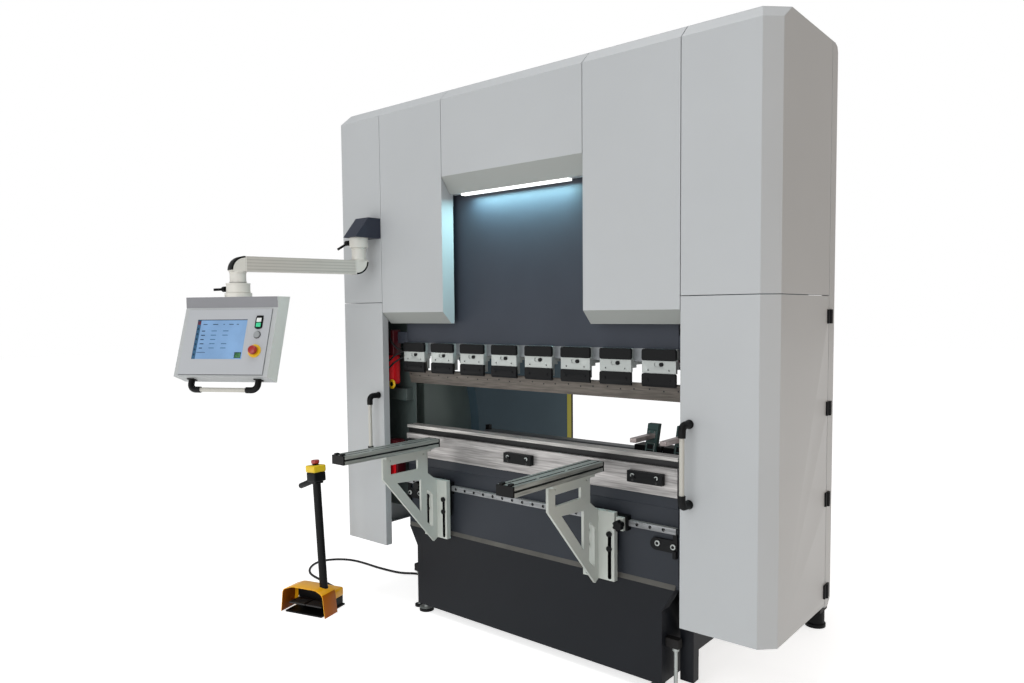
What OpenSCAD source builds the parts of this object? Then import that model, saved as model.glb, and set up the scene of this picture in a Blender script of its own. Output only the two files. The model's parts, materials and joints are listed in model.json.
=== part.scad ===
// Servo-electric CNC press brake, 1.55 m of clamped tooling, with its foot switch.
// X runs along the bending line, Y to the back, Z up. The bending line is over Y = 0.

/* [Covers] */
// Overall width over the side covers
cover_w = 2390; // [2300:10:2900]
// Height of the roof above the floor
cover_h = 2593; // [2580:1:3150]
// Distance from the bending line forward to the front covers
front_reach = 135; // [130:1:170]
// Depth of the side covers, front face to rear edge
cover_depth = 634; // [600:1:780]
// Distance from the front face to the door hinge line
hinge_depth = 568; // [540:1:590]
// Width of the slanted faces at the front corners, along X and Y
corner_cut = 54; // [20:1:90]
// Height and depth of the slanted top edge
top_cut = 52; // [20:1:80]
// Thickness of the cover sheet
sheet_t = 3; // [2:0.5:4]
// Width of the open seam between two covers
seam_gap = 3; // [2:0.5:5]
// Height of the seam between the doors and the upper covers
seam_z = 1601; // [1500:1:1700]
// Height of the doors' lower edge
door_z = 341; // [300:1:420]
// Half width of the raised middle panel
middle_half = 400; // [300:5:450]
// Height of the raised middle panel, lower edge to slanted top
middle_panel_h = 356; // [300:1:400]
// Height of the inner front boxes' lower edge
inner_z = 1551; // [1530:1:1620]
// Depth of the folds round the mouth
mouth_fold = 56; // [40:1:70]

/* [Frame] */
// Thickness of each C-shaped side plate
plate_t = 60; // [40:1:80]
// Distance from the bending line back to the plates' rear edge
frame_reach = 1345; // [1200:5:1500]
// Depth of the throat behind the bending line
throat_depth = 485; // [400:5:600]
// Radius of the throat's curved back
throat_r = 940; // [800:10:1200]
// Height of the lower edge of the throat
throat_z0 = 780; // [700:5:840]
// Height of the upper edge of the throat
throat_z1 = 1480; // [1440:5:1480]

/* [Ram and bed] */
// Number of tool clamps
clamp_count = 8; // [7:1:9]
// Distance from one clamp to the next
clamp_pitch = 200; // [180:5:240]
// Width of one clamp
clamp_w = 150; // [120:5:160]
// Thickness of the ram and bed plates
beam_t = 50; // [40:1:60]
// Height of the die's top face
die_z = 970; // [940:1:1000]
// Open height between the punch tip and the die
open_h = 216; // [200:1:240]
// Width of the steel bench under the die
bench_t = 74; // [60:1:90]
// Height of the bench's steel face
bench_h = 116; // [100:1:140]
// Diameter of the ball screws
screw_d = 40; // [32:1:50]

/* [Support arms] */
// Place of the left support arm along X
arm_left_x = -521; // [-540:1:-250]
// Place of the right support arm along X
arm_right_x = 432; // [150:1:500]
// Height of the support arms' top face
arm_top_z = 930; // [925:1:1000]
// Length of the slotted profile, without its end caps
profile_l = 569; // [450:1:700]
// Width of the slotted profile
profile_w = 80; // [80:1:100]
// Height of the slotted profile
profile_h = 40; // [30:1:45]
// Pitch of the screw holes in the front rail
rail_pitch = 60; // [40:5:80]

/* [Control box] */
// Length of the swinging arm between its two axes
swing_l = 605; // [500:5:700]
// Direction of the arm, turned back from straight left
swing_turn = 76.6; // [40:0.1:110]
// Width of the control box
box_w = 456; // [440:1:520]
// Depth of the control box body
box_t = 91; // [80:1:120]
// Length of the sloping front face
box_face = 323; // [310:1:360]
// Slope of the front face from upright
box_tilt = 20.2; // [10:0.1:30]
// Way the box faces, turned from straight forward
box_turn = 28; // [0:1:45]
// Height of the box's top
box_z = 1627; // [1560:1:1660]

/* [Foot switch] */
// Width of the guard at the floor
guard_w = 282; // [260:1:320]
// Height of the guard
guard_h = 140; // [130:1:170]
// Depth of the guard
guard_l = 200; // [190:1:230]
// Thickness of the guard sheet
guard_t = 3; // [2:0.5:4]
// Place of the foot switch, middle of its front edge, X
foot_x = -1128; // [-1200:1:-1100]
// Place of the foot switch, middle of its front edge, Y
foot_y = -457; // [-500:1:-430]
// Turn of the foot switch
foot_turn = 15.9; // [0:0.1:30]
// Length of the column
column_l = 542; // [450:1:650]
// Lean of the column
column_lean = 4.2; // [0:0.1:6]

/* [Back gauge] */
// Place of the gauge beam behind the bending line
gauge_y = 355; // [330:1:400]
// Distance of the gauge beam's left end from the middle
gauge_half = 560; // [540:5:620]
// Place of the left gauge finger to the right of the middle
finger_x = 465; // [430:5:470]

/* [Hidden] */
$fn = 32;
fit = 0.3;
big = 4000;

cover_grey = "#c3c6c6";
machine_blue = "#424953";
dark_steel = "#2b2d31";
bare_steel = "#8f8a82";
bright_steel = "#c4c7c9";
finger_green = "#34504a";
yellow = "#b9b21f";
red = "#c8232c";
black = "#17181a";
cream = "#cfccc3";
support_white = "#c6cbc4";
orange = "#e0900f";

// Widths that follow from the tooling
tool_len = clamp_pitch * (clamp_count - 1) + clamp_w;
ram_half = tool_len / 2;
bed_half = ram_half + 2;
frame_in = ram_half - 30;
frame_out = frame_in + plate_t;
mouth_half = frame_out + 32;
beam_y0 = -beam_t / 2;
beam_y1 = beam_t / 2;
front_y = -front_reach;
hinge_y = front_y + hinge_depth;
rear_y = front_y + cover_depth;
cover_half = cover_w / 2;
fold_y = front_y + mouth_fold;
cheek_y = front_y + 78;
lamp_y0 = front_y + 63;
lamp_y1 = front_y + 95;
lamp_h = 9;
roof_apron = cover_half - 40;

// Heights that follow from the roof
slant_z = cover_h - top_cut;
middle_z = slant_z - middle_panel_h;
middle_lip_z = middle_z - 78;
inner_lip_z = inner_z - mouth_fold;
post_z = door_z - 10;
frame_top = cover_h - 193;
drive_z0 = cover_h - 353;
drive_z1 = drive_z0 + 80;
shoulder_z = drive_z0 - 180;
ram_top = drive_z1 + 10;

// Levelling, lower frame and beam
foot_h = 40;
leg_y0 = 52;
leg_y1 = 100;
jack_z = 190;
belly_z = 165;
cross_beam = [2000, 100, 85];
cross_beam_y = 995;
upper_jaw_y = 90;

// Bed
box_half = ram_half - 65;
jack_x = box_half + 39;
box_flare = 56;
box_flare_z = 344;
bed_z0 = 440;
bench_z0 = 811;
bench_z1 = bench_z0 + bench_h;
bench_half_t = bench_t / 2;
die_head_h = 15;
rail_z = 679;
rail_h = 24;
rail_t = 20;
rail_half = ram_half;

// Tooling stack, upwards from the die
tip_z = die_z + open_h;
jaw_z0 = tip_z + 60;
jaw_z1 = jaw_z0 + 54;
body_z1 = jaw_z1 + 50;
ram_z0 = body_z1 - 8;
bar_z1 = body_z1 + 46;
clamp_front = -52;
bar_back = clamp_front + 14;
jaw_back = clamp_front + 13;
grip_half = 37;
grip_z0 = jaw_z0 + 16;
punch_top = jaw_z0 + 8;

// Drive
screw_x = ram_half - 175;
slot_w = 64;
slot_z0 = ram_z0 + 178;
nut_z0 = shoulder_z - 300;
nut_h = 90;
guide_x = frame_in + 17;
journal_d = 30;
bore_fit = 0.05;
ram_centre = screw_x - 170;
rail_front = upper_jaw_y - 28;
tang_half = 6.5;
punch_half = 13;
die_tang = 10;
die_stem = 21;
die_half = 32;
die_v = 8;
rail_y0 = beam_y0 - rail_t;
box_y0 = beam_y0 - 12;

// Hinges and handles of the doors
hinge_off = 7;
hinge_x = cover_half + hinge_off;
hinge_h = 56;
hinge_heights = [seam_z - 83, seam_z - 451, seam_z - 819, door_z + 62];
handle_x = mouth_half + 40;
handle_z = door_z + 633;
handle_span = 302;
handle_out = 60;

// Inner face, rear wall and top of the cabinet behind the left-hand door
cabinet_x = frame_out + 65;
cabinet_y1 = rear_y + 61;
cabinet_z1 = throat_z0 + 420;

// Support arms, seen from the side
flange_y0 = beam_y0 - 56;
flange_y1 = flange_y0 + 24;
flange_x = [-72, 83];
bolt_heights = [rail_z - 50, rail_z - 111];
bolt_places = [-51, 60];
slot_heights = [447.5, 631.5];
knob_x = 114;
knob_block_y = flange_y1 - 15;
web_z1 = arm_top_z - 54;
slot_d = 17;
knob_pin_d = 10;

// Back gauge
module_x = finger_x + 55;
module_z0 = 720;
tie_y = gauge_y + 205;
finger_gap = 146;
gauge_end = frame_in - 15;
gauge_z0 = module_z0 + 160;
gauge_z1 = gauge_z0 + 37;

// Pendant: axis on the wall, axis over the box, heights of collar and tube
arm_x = -mouth_half - 60;
arm_y = front_y - 95;
hang_x = arm_x - swing_l * cos(swing_turn);
hang_y = arm_y - swing_l * sin(swing_turn);
tube_z0 = box_z + 117;
tube_z1 = tube_z0 + 69;
collar_z0 = tube_z1 + 64;
collar_z1 = collar_z0 + 49;
pivot_d = 60;
hang_d = 50;
twin_x = 152;
stem_d = 24;

// Foot switch: hinge line of the pedals and gland of the cable
pedal_y = 114;
pedal_z = 40;
gland_x = -4;

// Way of the cable, from the gland on the left plate to the back of the foot switch
cable_d = 13;
cable_way = [[-812, 330, 200], [-860, 330, 196], [-910, 331, 160], [-940, 333, 90],
    [-975, 336, 24], [-1040, 338, 7], [-1115, 325, 7], [-1209, 276, 7], [-1362, 258, 7],
    [-1520, 258, 7], [-1620, 245, 7], [-1700, 202, 7], [-1748, 132, 7], [-1742, 60, 7],
    [-1687, -15, 7], [-1602, -67, 7], [-1489, -90, 7], [-1345, -110, 7], [-1262, -130, 8],
    [-1216, -175, 20], [-1190, -253, 34]];

// Box between two corners
module block(x0, x1, y0, y1, z0, z1) {
    translate([x0, y0, z0])
        cube([x1 - x0, y1 - y0, z1 - z0]);
}

// Flat shape given in Y and Z, drawn out along X
module along_x(x0, x1) {
    translate([x0, 0, 0])
        rotate([90, 0, 90])
            linear_extrude(x1 - x0)
                children();
}

// Flat shape given in X and Z, drawn out along Y
module along_y(y0, y1) {
    translate([0, y1, 0])
        rotate([90, 0, 0])
            linear_extrude(y1 - y0)
                children();
}

// Upright cylinder
module post(x, y, z0, z1, d) {
    translate([x, y, z0])
        cylinder(h = z1 - z0, d = d);
}

// Cylinder along Y, from y0 back to y1
module pin_y(x, z, y0, y1, d) {
    translate([x, y1, z])
        rotate([90, 0, 0])
            cylinder(h = y1 - y0, d = d);
}

// Cylinder along X, from x0 to x1
module pin_x(y, z, x0, x1, d) {
    translate([x0, y, z])
        rotate([0, 90, 0])
            cylinder(h = x1 - x0, d = d);
}

module both_sides() {
    children();
    mirror([1, 0, 0])
        children();
}

// ---- Covers ----

// Outline of the covers as seen from above, set in by d
function cover_outline(d) = [
    [-cover_half + d, rear_y + 10 + d],
    [-cover_half + d, front_y + corner_cut + d * 0.41421],
    [-cover_half + corner_cut + d * 0.41421, front_y + d],
    [cover_half - corner_cut - d * 0.41421, front_y + d],
    [cover_half - d, front_y + corner_cut + d * 0.41421],
    [cover_half - d, rear_y + 10 + d]];

// Everything above a plane that leans back at 45 degrees
module above_slant() {
    rotate([90, 0, 90])
        linear_extrude(big, center = true)
            polygon([[-200, -200], [400, 400], [-200, 400]]);
}

// Solid block inside the cover faces, set in by d
module cover_solid(d) {
    plane_z = slant_z - d * 1.41421;
    difference() {
        translate([0, 0, -d])
            linear_extrude(cover_h)
                polygon(cover_outline(d));
        translate([0, front_y, plane_z])
            above_slant();
        for (s = [-1, 1])
            translate([s * (cover_half - corner_cut), front_y, plane_z])
                rotate([0, 0, s * 45])
                    above_slant();
    }
}

// Flat fold along the cover faces at one height
module cover_fold(z, w) {
    intersection() {
        translate([0, 0, z])
            linear_extrude(sheet_t)
                difference() {
                    polygon(cover_outline(0));
                    polygon(cover_outline(w));
                }
        cover_solid(0);
    }
}

// Sheet of the covers between two X, two Y and two heights
module cover_sheet(x0, x1, y1, z0, z1) {
    intersection() {
        difference() {
            cover_solid(0);
            cover_solid(sheet_t);
        }
        block(x0, x1, front_y - 1, y1, z0, z1);
    }
}

// Fold cut off at the same limits as its sheet
module cover_fold_part(z, w, x0, x1, y1) {
    intersection() {
        cover_fold(z, w);
        block(x0, x1, front_y - 1, y1, z - 1, z + sheet_t + 1);
    }
}

// Upright return along an edge, ending at the slanted top
module cover_return(x0, y1, z0) {
    intersection() {
        block(x0, x0 + sheet_t, front_y, y1, z0, cover_h - sheet_t);
        cover_solid(0);
    }
}

// Right-hand cover over the side, above the door
module outer_cover() {
    x0 = mouth_half + seam_gap / 2;
    y1 = hinge_y - seam_gap / 2;
    z0 = seam_z + seam_gap / 2;
    union() {
        cover_sheet(x0, cover_half + 1, y1, z0, cover_h - sheet_t);
        cover_fold_part(z0, 30, x0, cover_half + 1, y1);
        cover_fold_part(cover_h - 2 * sheet_t, 78, x0, cover_half + 1, y1);
        cover_return(x0, front_y + 38, z0);
        block(cover_half - 30, cover_half, y1 - sheet_t, y1, z0, cover_h - sheet_t);
        block(x0 - seam_gap, x0, front_y + 30, front_y + 33, z0 + 20, slant_z - 40);
    }
}

// Fold under an inner front cover, seen from the side
module inner_fold() {
    polygon([[front_y, inner_z], [fold_y, inner_lip_z], [cheek_y, inner_lip_z],
        [cheek_y, inner_lip_z + sheet_t], [fold_y + 1, inner_lip_z + sheet_t],
        [front_y + sheet_t, inner_z + 1.3], [front_y + sheet_t, inner_z + 2],
        [front_y, inner_z + 2]]);
}

// Side wall of an inner front cover, seen from the side
module inner_cheek() {
    polygon([[front_y, inner_z], [fold_y, inner_lip_z], [cheek_y, inner_lip_z],
        [cheek_y, cover_h - sheet_t], [front_y, cover_h - sheet_t]]);
}

// Right-hand inner front cover
module inner_cover() {
    x0 = middle_half + seam_gap / 2;
    x1 = mouth_half - seam_gap / 2;
    union() {
        cover_sheet(x0, x1, front_y + 60, inner_z, cover_h - sheet_t);
        cover_fold_part(cover_h - 2 * sheet_t, 78, x0, x1, front_y + 90);
        along_x(x0, x1)
            inner_fold();
        for (x = [x0, x1 - sheet_t])
            intersection() {
                along_x(x, x + sheet_t)
                    inner_cheek();
                cover_solid(0);
            }
    }
}

// Raised middle cover with the fold that carries the work light
module middle_cover() {
    x0 = middle_half - seam_gap / 2;
    union() {
        cover_sheet(-x0, x0, front_y + 60, middle_z, cover_h - sheet_t);
        cover_fold_part(cover_h - 2 * sheet_t, 78, -x0, x0, front_y + 90);
        along_x(-x0, x0)
            polygon([[front_y, middle_z], [fold_y, middle_lip_z], [lamp_y1, middle_lip_z],
                [lamp_y1, middle_lip_z + sheet_t], [fold_y + 1.5, middle_lip_z + sheet_t],
                [front_y + sheet_t, middle_z + 1], [front_y, middle_z + 2]]);
        both_sides() {
            cover_return(x0 - sheet_t, front_y + 38, middle_z + 2);
            block(x0, x0 + seam_gap, front_y + 30, front_y + 33, middle_z + 20, slant_z - 40);
        }
    }
}

module front_covers() {
    color(cover_grey) {
        middle_cover();
        both_sides()
            inner_cover();
    }
}

module outer_covers() {
    color(cover_grey)
        both_sides()
            outer_cover();
}

// Right-hand rear corner post
module rear_post() {
    y0 = hinge_y + seam_gap / 2;
    x0 = cover_half - 30;
    z1 = cover_h - sheet_t;
    union() {
        intersection() {
            union() {
                block(cover_half - sheet_t, cover_half, y0, rear_y, post_z, z1);
                block(x0, cover_half, y0, y0 + sheet_t, post_z, z1);
                block(x0, cover_half, rear_y - sheet_t, rear_y, post_z, z1);
            }
            along_x(x0 - 1, cover_half + 1)
                polygon([[y0, post_z], [rear_y - 30, post_z], [rear_y, post_z + 30],
                    [rear_y, cover_h - 30], [rear_y - 9, cover_h - 9], [rear_y - 30, cover_h],
                    [y0, cover_h]]);
        }
        block(x0 + 5, x0 + 8, y0 - seam_gap, y0, seam_z + 40, slant_z - 60);
    }
}

module rear_posts() {
    color(cover_grey)
        both_sides()
            rear_post();
}

module roof_cover() {
    color(cover_grey) {
        intersection() {
            cover_solid(0);
            block(-cover_half, cover_half, front_y, rear_y - 30, cover_h - sheet_t, cover_h);
        }
        block(-roof_apron, roof_apron, rear_y - 33, rear_y - 30, cover_h - 70, cover_h - sheet_t);
    }
}

module work_light() {
    color(bare_steel)
        block(-333, 285, lamp_y0, lamp_y1 - 4, middle_lip_z - lamp_h, middle_lip_z);
}

// ---- Doors ----

// Right-hand door pan
module door() {
    x0 = mouth_half + seam_gap / 2;
    y1 = hinge_y - seam_gap / 2 - 0.5;
    z1 = seam_z - seam_gap / 2;
    union() {
        cover_sheet(x0, cover_half + 1, y1, door_z, z1);
        cover_fold_part(door_z, 34, x0, cover_half + 1, y1);
        cover_fold_part(z1 - sheet_t, 34, x0, cover_half + 1, y1);
        block(x0, x0 + sheet_t, front_y, front_y + 38, door_z, z1);
        block(cover_half - 30, cover_half, y1 - sheet_t, y1, door_z, z1);
        for (z = hinge_heights) {
            block(cover_half, hinge_x, hinge_y - 23, hinge_y - 8, z - hinge_h / 2, z + hinge_h / 2);
            block(cover_half, hinge_x, hinge_y - 9, hinge_y, z + fit, z + hinge_h / 2);
            post(hinge_x, hinge_y, z + fit, z + hinge_h / 2, 2 * hinge_off);
        }
    }
}

// Static half of every hinge on the right-hand side
module hinge_set() {
    for (z = hinge_heights) {
        block(cover_half, hinge_x, hinge_y + 8, hinge_y + 29, z - hinge_h / 2, z + hinge_h / 2);
        block(cover_half, hinge_x, hinge_y + 2, hinge_y + 9, z - hinge_h / 2, z);
        post(hinge_x, hinge_y, z - hinge_h / 2, z, 2 * hinge_off);
    }
}

module hinge_leaves() {
    color(black)
        both_sides()
            hinge_set();
}

module door_left() {
    color(cover_grey)
        mirror([1, 0, 0])
            door();
}

module door_right() {
    color(cover_grey)
        door();
}

// Bow handle on the right-hand door, tube with two elbow ends
module door_handle() {
    union() {
        for (s = [-1, 1])
            translate([handle_x, front_y, handle_z + s * handle_span / 2]) {
                pin_y(0, 0, -handle_out - 12, 0, 24);
                block(-12, 12, -handle_out - 12, -handle_out + 12, -14, 14);
            }
        post(handle_x, front_y - handle_out, handle_z - handle_span / 2, handle_z + handle_span / 2,
            20);
    }
}

module handle_left() {
    color(black)
        mirror([1, 0, 0])
            door_handle();
}

module handle_right() {
    color(black)
        door_handle();
}

// ---- Frame ----

// Side plate seen from the side, with the throat left out
module c_profile() {
    difference() {
        polygon([[leg_y0, foot_h], [leg_y1, foot_h], [leg_y1, belly_z], [frame_reach, belly_z],
            [frame_reach, cover_h - 843], [900, frame_top], [upper_jaw_y, frame_top],
            [upper_jaw_y, throat_z1], [beam_y1, throat_z1], [beam_y1, bed_z0], [leg_y0, bed_z0]]);
        intersection() {
            translate([throat_depth - throat_r, throat_z0 + 90])
                circle(r = throat_r);
            translate([-100, throat_z0])
                square([1000, throat_z1 - throat_z0 + 1]);
        }
    }
}

// Bearing bracket of the right-hand screw, with its bore
module drive_bracket() {
    difference() {
        block(screw_x - 130, frame_out, -60, upper_jaw_y, drive_z0, drive_z1);
        post(screw_x, 0, drive_z0 - 1, drive_z1 + 1, journal_d + 2 * bore_fit);
    }
}

// Roof posts and rear post brackets on the right-hand plate
module side_supports() {
    for (y = [100, 400])
        block(frame_in, frame_out, y, y + 60, frame_top, cover_h - sheet_t);
    for (z = [420, 1550, drive_z1 + 30])
        block(frame_out, cover_half - 5, rear_y - 43, rear_y - sheet_t, z - 20, z + 20);
}

// Lug for the jack screw, on the right-hand side of the bed box
module jack_bracket() {
    block(box_half, jack_x + 19, -8, beam_y1, jack_z, jack_z + 38);
}

module side_plates() {
    color(machine_blue)
        both_sides()
            along_x(frame_in, frame_out)
                c_profile();
}

// Everything that joins the side plates or stands on them, and the cable gland
module frame_ties() {
    color(machine_blue) {
        both_sides() {
            drive_bracket();
            side_supports();
            jack_bracket();
        }
        block(-frame_in, frame_in, 900, 1000, frame_top - 100, frame_top);
        block(-frame_in, frame_in, 700, 800, 200, 320);
        block(-frame_in, frame_in, tie_y, tie_y + 80, module_z0 - 80, module_z0);
        pin_x(330, 200, -frame_out - 12, -frame_out, 26);
        translate([-cross_beam[0] / 2, cross_beam_y, belly_z - cross_beam[2]])
            cube(cross_beam);
    }
}

module bed_plate() {
    color(machine_blue)
        union() {
            block(-bed_half, bed_half, beam_y0, beam_y1, bed_z0, bench_z0);
            block(-bed_half, bed_half, beam_y0 - 4, beam_y0, bench_z0 - 46, bench_z0);
        }
}

module bed_box() {
    color(dark_steel)
        union() {
            along_y(box_y0, beam_y1)
                polygon([[-box_half, foot_h], [box_half, foot_h], [box_half, box_flare_z],
                    [box_half + box_flare, bed_z0], [-box_half - box_flare, bed_z0],
                    [-box_half, box_flare_z]]);
            block(-box_half, box_half, beam_y1, 295, foot_h, bed_z0);
            along_x(-box_half - box_flare + 1, box_half + box_flare - 1)
                polygon([[box_y0, bed_z0], [beam_y0, bed_z0], [beam_y0, bed_z0 + 18]]);
        }
}

module levelling_feet() {
    color(black) {
        for (x = [-1, 1]) {
            post(x * (box_half - 29), -5, 0, 18, 76);
            post(x * (box_half - 29), -5, 18, foot_h, 24);
            post(x * (cross_beam[0] / 2 - 40), cross_beam_y + 50, 0, 18, 96);
            post(x * (cross_beam[0] / 2 - 40), cross_beam_y + 50, 18, belly_z - cross_beam[2], 84);
            post(x * jack_x, 9, 0, 12, 50);
            post(x * jack_x, 9, 12, jack_z, 16);
            post(x * jack_x, 9, jack_z - 13, jack_z, 28);
        }
    }
}

module bench() {
    color(bare_steel)
        difference() {
            block(-bed_half, bed_half, -bench_half_t, bench_half_t, bench_z0, bench_z1);
            block(-bed_half - 1, bed_half + 1, -die_tang, die_tang, bench_z1 - 15, bench_z1 + 1);
        }
}

module bottom_die() {
    color(bare_steel)
        along_x(-bed_half, bed_half)
            polygon([[-die_tang, bench_z1 - 15], [die_tang, bench_z1 - 15],
                [die_tang, bench_z1], [die_stem, bench_z1], [die_stem, die_z - die_head_h],
                [die_half, die_z - die_head_h], [die_half, die_z], [die_v, die_z], [0, die_z - die_v],
                [-die_v, die_z], [-die_half, die_z], [-die_half, die_z - die_head_h],
                [-die_stem, die_z - die_head_h], [-die_stem, bench_z1], [-die_tang, bench_z1]]);
}

// End plate of the rail, rounded at its inner end
module end_plate() {
    y0 = beam_y0 - 10;
    block(bed_half - 96, bed_half - 1, y0, beam_y0, rail_z - 90, rail_z - 40);
    pin_y(bed_half - 96, rail_z - 65, y0, beam_y0, 50);
    pin_y(bed_half - 88, rail_z - 61, y0 - 6, y0, 13);
    block(bed_half - 20, bed_half - 2, y0, beam_y0, rail_z - 112, rail_z - rail_h / 2);
    pin_y(bed_half - 18, rail_z - 65, y0 - 6, y0, 13);
    block(bed_half - 17, bed_half - 3, y0 - 9, y0, rail_z - 110, rail_z - 80);
}

module clamp_blocks() {
    color(black) {
        for (x = [-678, -18, 642]) {
            block(x - 80, x + 80, -bench_half_t - 23, -bench_half_t, bench_z0 + 44, bench_z0 + 90);
            for (s = [-50, 50])
                pin_y(x + s, bench_z0 + 67, -bench_half_t - 28, -bench_half_t - 23, 16);
        }
        both_sides()
            end_plate();
    }
}

module arm_rail() {
    count = floor(rail_half / rail_pitch);
    color(bright_steel)
        difference() {
            block(-rail_half, rail_half, rail_y0, beam_y0, rail_z - rail_h / 2, rail_z + rail_h / 2);
            for (i = [-count:count]) {
                pin_y(i * rail_pitch, rail_z, rail_y0 - 1, beam_y0 + 1, 8);
                pin_y(i * rail_pitch, rail_z, rail_y0 - 1, rail_y0 + 9, 14);
            }
        }
}

// ---- Ram and tooling ----

module ram() {
    color(machine_blue)
        difference() {
            along_y(beam_y0, beam_y1)
                polygon([[-ram_half, ram_z0], [ram_half, ram_z0], [ram_half, shoulder_z],
                    [ram_centre, shoulder_z], [ram_centre, ram_top], [-ram_centre, ram_top],
                    [-ram_centre, shoulder_z], [-ram_half, shoulder_z]]);
            both_sides() {
                block(screw_x - 75, screw_x + 75, -100, 100, nut_z0, shoulder_z + 1);
                block(screw_x - slot_w / 2, screw_x + slot_w / 2, -100, 100, slot_z0, nut_z0 + 1);
            }
        }
}

module at_clamps() {
    for (i = [0:clamp_count - 1])
        translate([(i - (clamp_count - 1) / 2) * clamp_pitch, 0, 0])
            children();
}

module clamp_bodies() {
    step_z = jaw_z1 + 16;
    color(bright_steel)
        at_clamps()
            difference() {
                union() {
                    along_x(-clamp_w / 2, clamp_w / 2)
                        polygon([[clamp_front + 4, jaw_z1], [clamp_front + 4, body_z1],
                            [bar_back, body_z1], [bar_back, bar_z1], [beam_y0, bar_z1],
                            [beam_y0, ram_z0], [44, ram_z0], [44, step_z + 12],
                            [-5, step_z + 12], [-5, step_z], [-35, step_z], [-35, jaw_z1]]);
                    difference() {
                        block(-grip_half, grip_half, jaw_back, 25, grip_z0, step_z + 13);
                        block(-grip_half - 1, grip_half + 1, -tang_half, tang_half + 0.5,
                            grip_z0 - 1, jaw_z1 + 2);
                    }
                }
                block(-12, 12, clamp_front + 3, clamp_front + 8, jaw_z1 + 26, jaw_z1 + 45);
                for (x = [-12, 12])
                    pin_y(x, jaw_z1 + 35.5, clamp_front + 3, clamp_front + 8, 19);
                for (x = [-46, 46])
                    pin_y(x, jaw_z1 + 13, clamp_front + 3, clamp_front + 10, 8);
            }
}

// Black bar and jaw of every clamp, with their screw heads
module clamp_plates() {
    color(black)
        at_clamps() {
            block(-clamp_w / 2, clamp_w / 2, clamp_front, bar_back, body_z1, bar_z1);
            along_x(-clamp_w / 2, clamp_w / 2)
                polygon([[clamp_front, jaw_z0 + 10], [clamp_front + 6, jaw_z0], [jaw_back, jaw_z0],
                    [jaw_back, jaw_z1], [clamp_front, jaw_z1]]);
            pin_y(12, jaw_z1 + 35.5, clamp_front - 2, clamp_front + 8, 16);
            for (x = [-50, 50])
                pin_y(x, jaw_z0 + 27, clamp_front - 3, clamp_front, 11);
        }
}

// Punch over the whole length, with a tang in every clamp
module top_punch() {
    color(bright_steel)
        union() {
            along_x(-ram_half, ram_half)
                polygon([[-1, tip_z], [1, tip_z], [punch_half, tip_z + 39],
                    [punch_half, punch_top], [-punch_half, punch_top],
                    [-punch_half, tip_z + 39]]);
            at_clamps()
                block(-grip_half + 2, grip_half - 2, -tang_half, tang_half, punch_top, jaw_z1 + 1);
        }
}

// Nuts of the ball screws, and the runners of the ram on its guide rails
module nuts_and_runners() {
    color(bright_steel)
        both_sides() {
            difference() {
                block(screw_x - 65, screw_x + 65, -55, 55, nut_z0, nut_z0 + nut_h);
                post(screw_x, 0, nut_z0 - 1, nut_z0 + nut_h + 1, screw_d + 2 * bore_fit);
            }
            for (z = [nut_z0 - 60, shoulder_z - 100])
                difference() {
                    block(guide_x - 25, guide_x + 25, beam_y1, rail_front + 22, z, z + 80);
                    block(guide_x - 12 - fit, guide_x + 12 + fit, rail_front - fit, rail_front + 30,
                        z - 1, z + 81);
                }
        }
}

// Ball screw with its journal and coupling hub
module screw() {
    union() {
        post(screw_x, 0, slot_z0 + 10, drive_z0 - 2, screw_d);
        post(screw_x, 0, drive_z0 - 2, drive_z1 + 2, journal_d);
        post(screw_x, 0, drive_z1 + 2, drive_z1 + 60, screw_d);
    }
}

module screw_left() {
    color(bright_steel)
        mirror([1, 0, 0])
            screw();
}

module screw_right() {
    color(bright_steel)
        screw();
}

module servo_motors() {
    color(black)
        both_sides() {
            difference() {
                block(screw_x - 50, screw_x + 50, -50, 50, drive_z1, drive_z1 + 80);
                post(screw_x, 0, drive_z1 - 1, drive_z1 + 66, 80);
            }
            block(screw_x - 65, screw_x + 65, -65, 65, drive_z1 + 80, drive_z1 + 240);
        }
}

// Guide rail of the ram on the right-hand plate, and its back gauge module
module rail_set() {
    block(guide_x - 12, guide_x + 12, rail_front, upper_jaw_y, throat_z1 + 5, shoulder_z + 80);
    block(module_x - 60, module_x + 60, beam_y1, tie_y + 65, module_z0, module_z0 + 80);
    block(module_x - 12, module_x + 12, beam_y1 + 20, tie_y + 60, module_z0 + 80, module_z0 + 98);
}

module linear_rails() {
    color(bright_steel)
        both_sides()
            rail_set();
}

// Guarding arm with its disc, held on the right-hand end of the ram
module laser_arm() {
    x0 = ram_half + 72;
    union() {
        block(ram_half, x0 + 5, beam_y0, 15, ram_z0 + 48, ram_z0 + 108);
        block(x0, x0 + 78, -60, -2, tip_z - 11, ram_z0 + 118);
        pin_y(x0 + 50, tip_z - 12, -68, -59, 50);
    }
}

module laser_arms() {
    color(red)
        both_sides()
            laser_arm();
}

// ---- Back gauge ----

module gauge_beam() {
    color(bare_steel)
        union() {
            both_sides()
                difference() {
                    block(module_x - 50, module_x + 50, gauge_y - 60, gauge_y + 60,
                        module_z0 + 80 + fit, gauge_z0);
                    block(module_x - 12 - fit, module_x + 12 + fit, gauge_y - 61, gauge_y + 61,
                        module_z0 + 79, module_z0 + 98 + fit);
                }
            block(-gauge_half, gauge_end, gauge_y - 30, gauge_y + 30, gauge_z0, gauge_z1);
            block(-gauge_half, -gauge_half + 24, gauge_y - 20, gauge_y + 4, gauge_z1, gauge_z1 + 26);
        }
}

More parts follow.
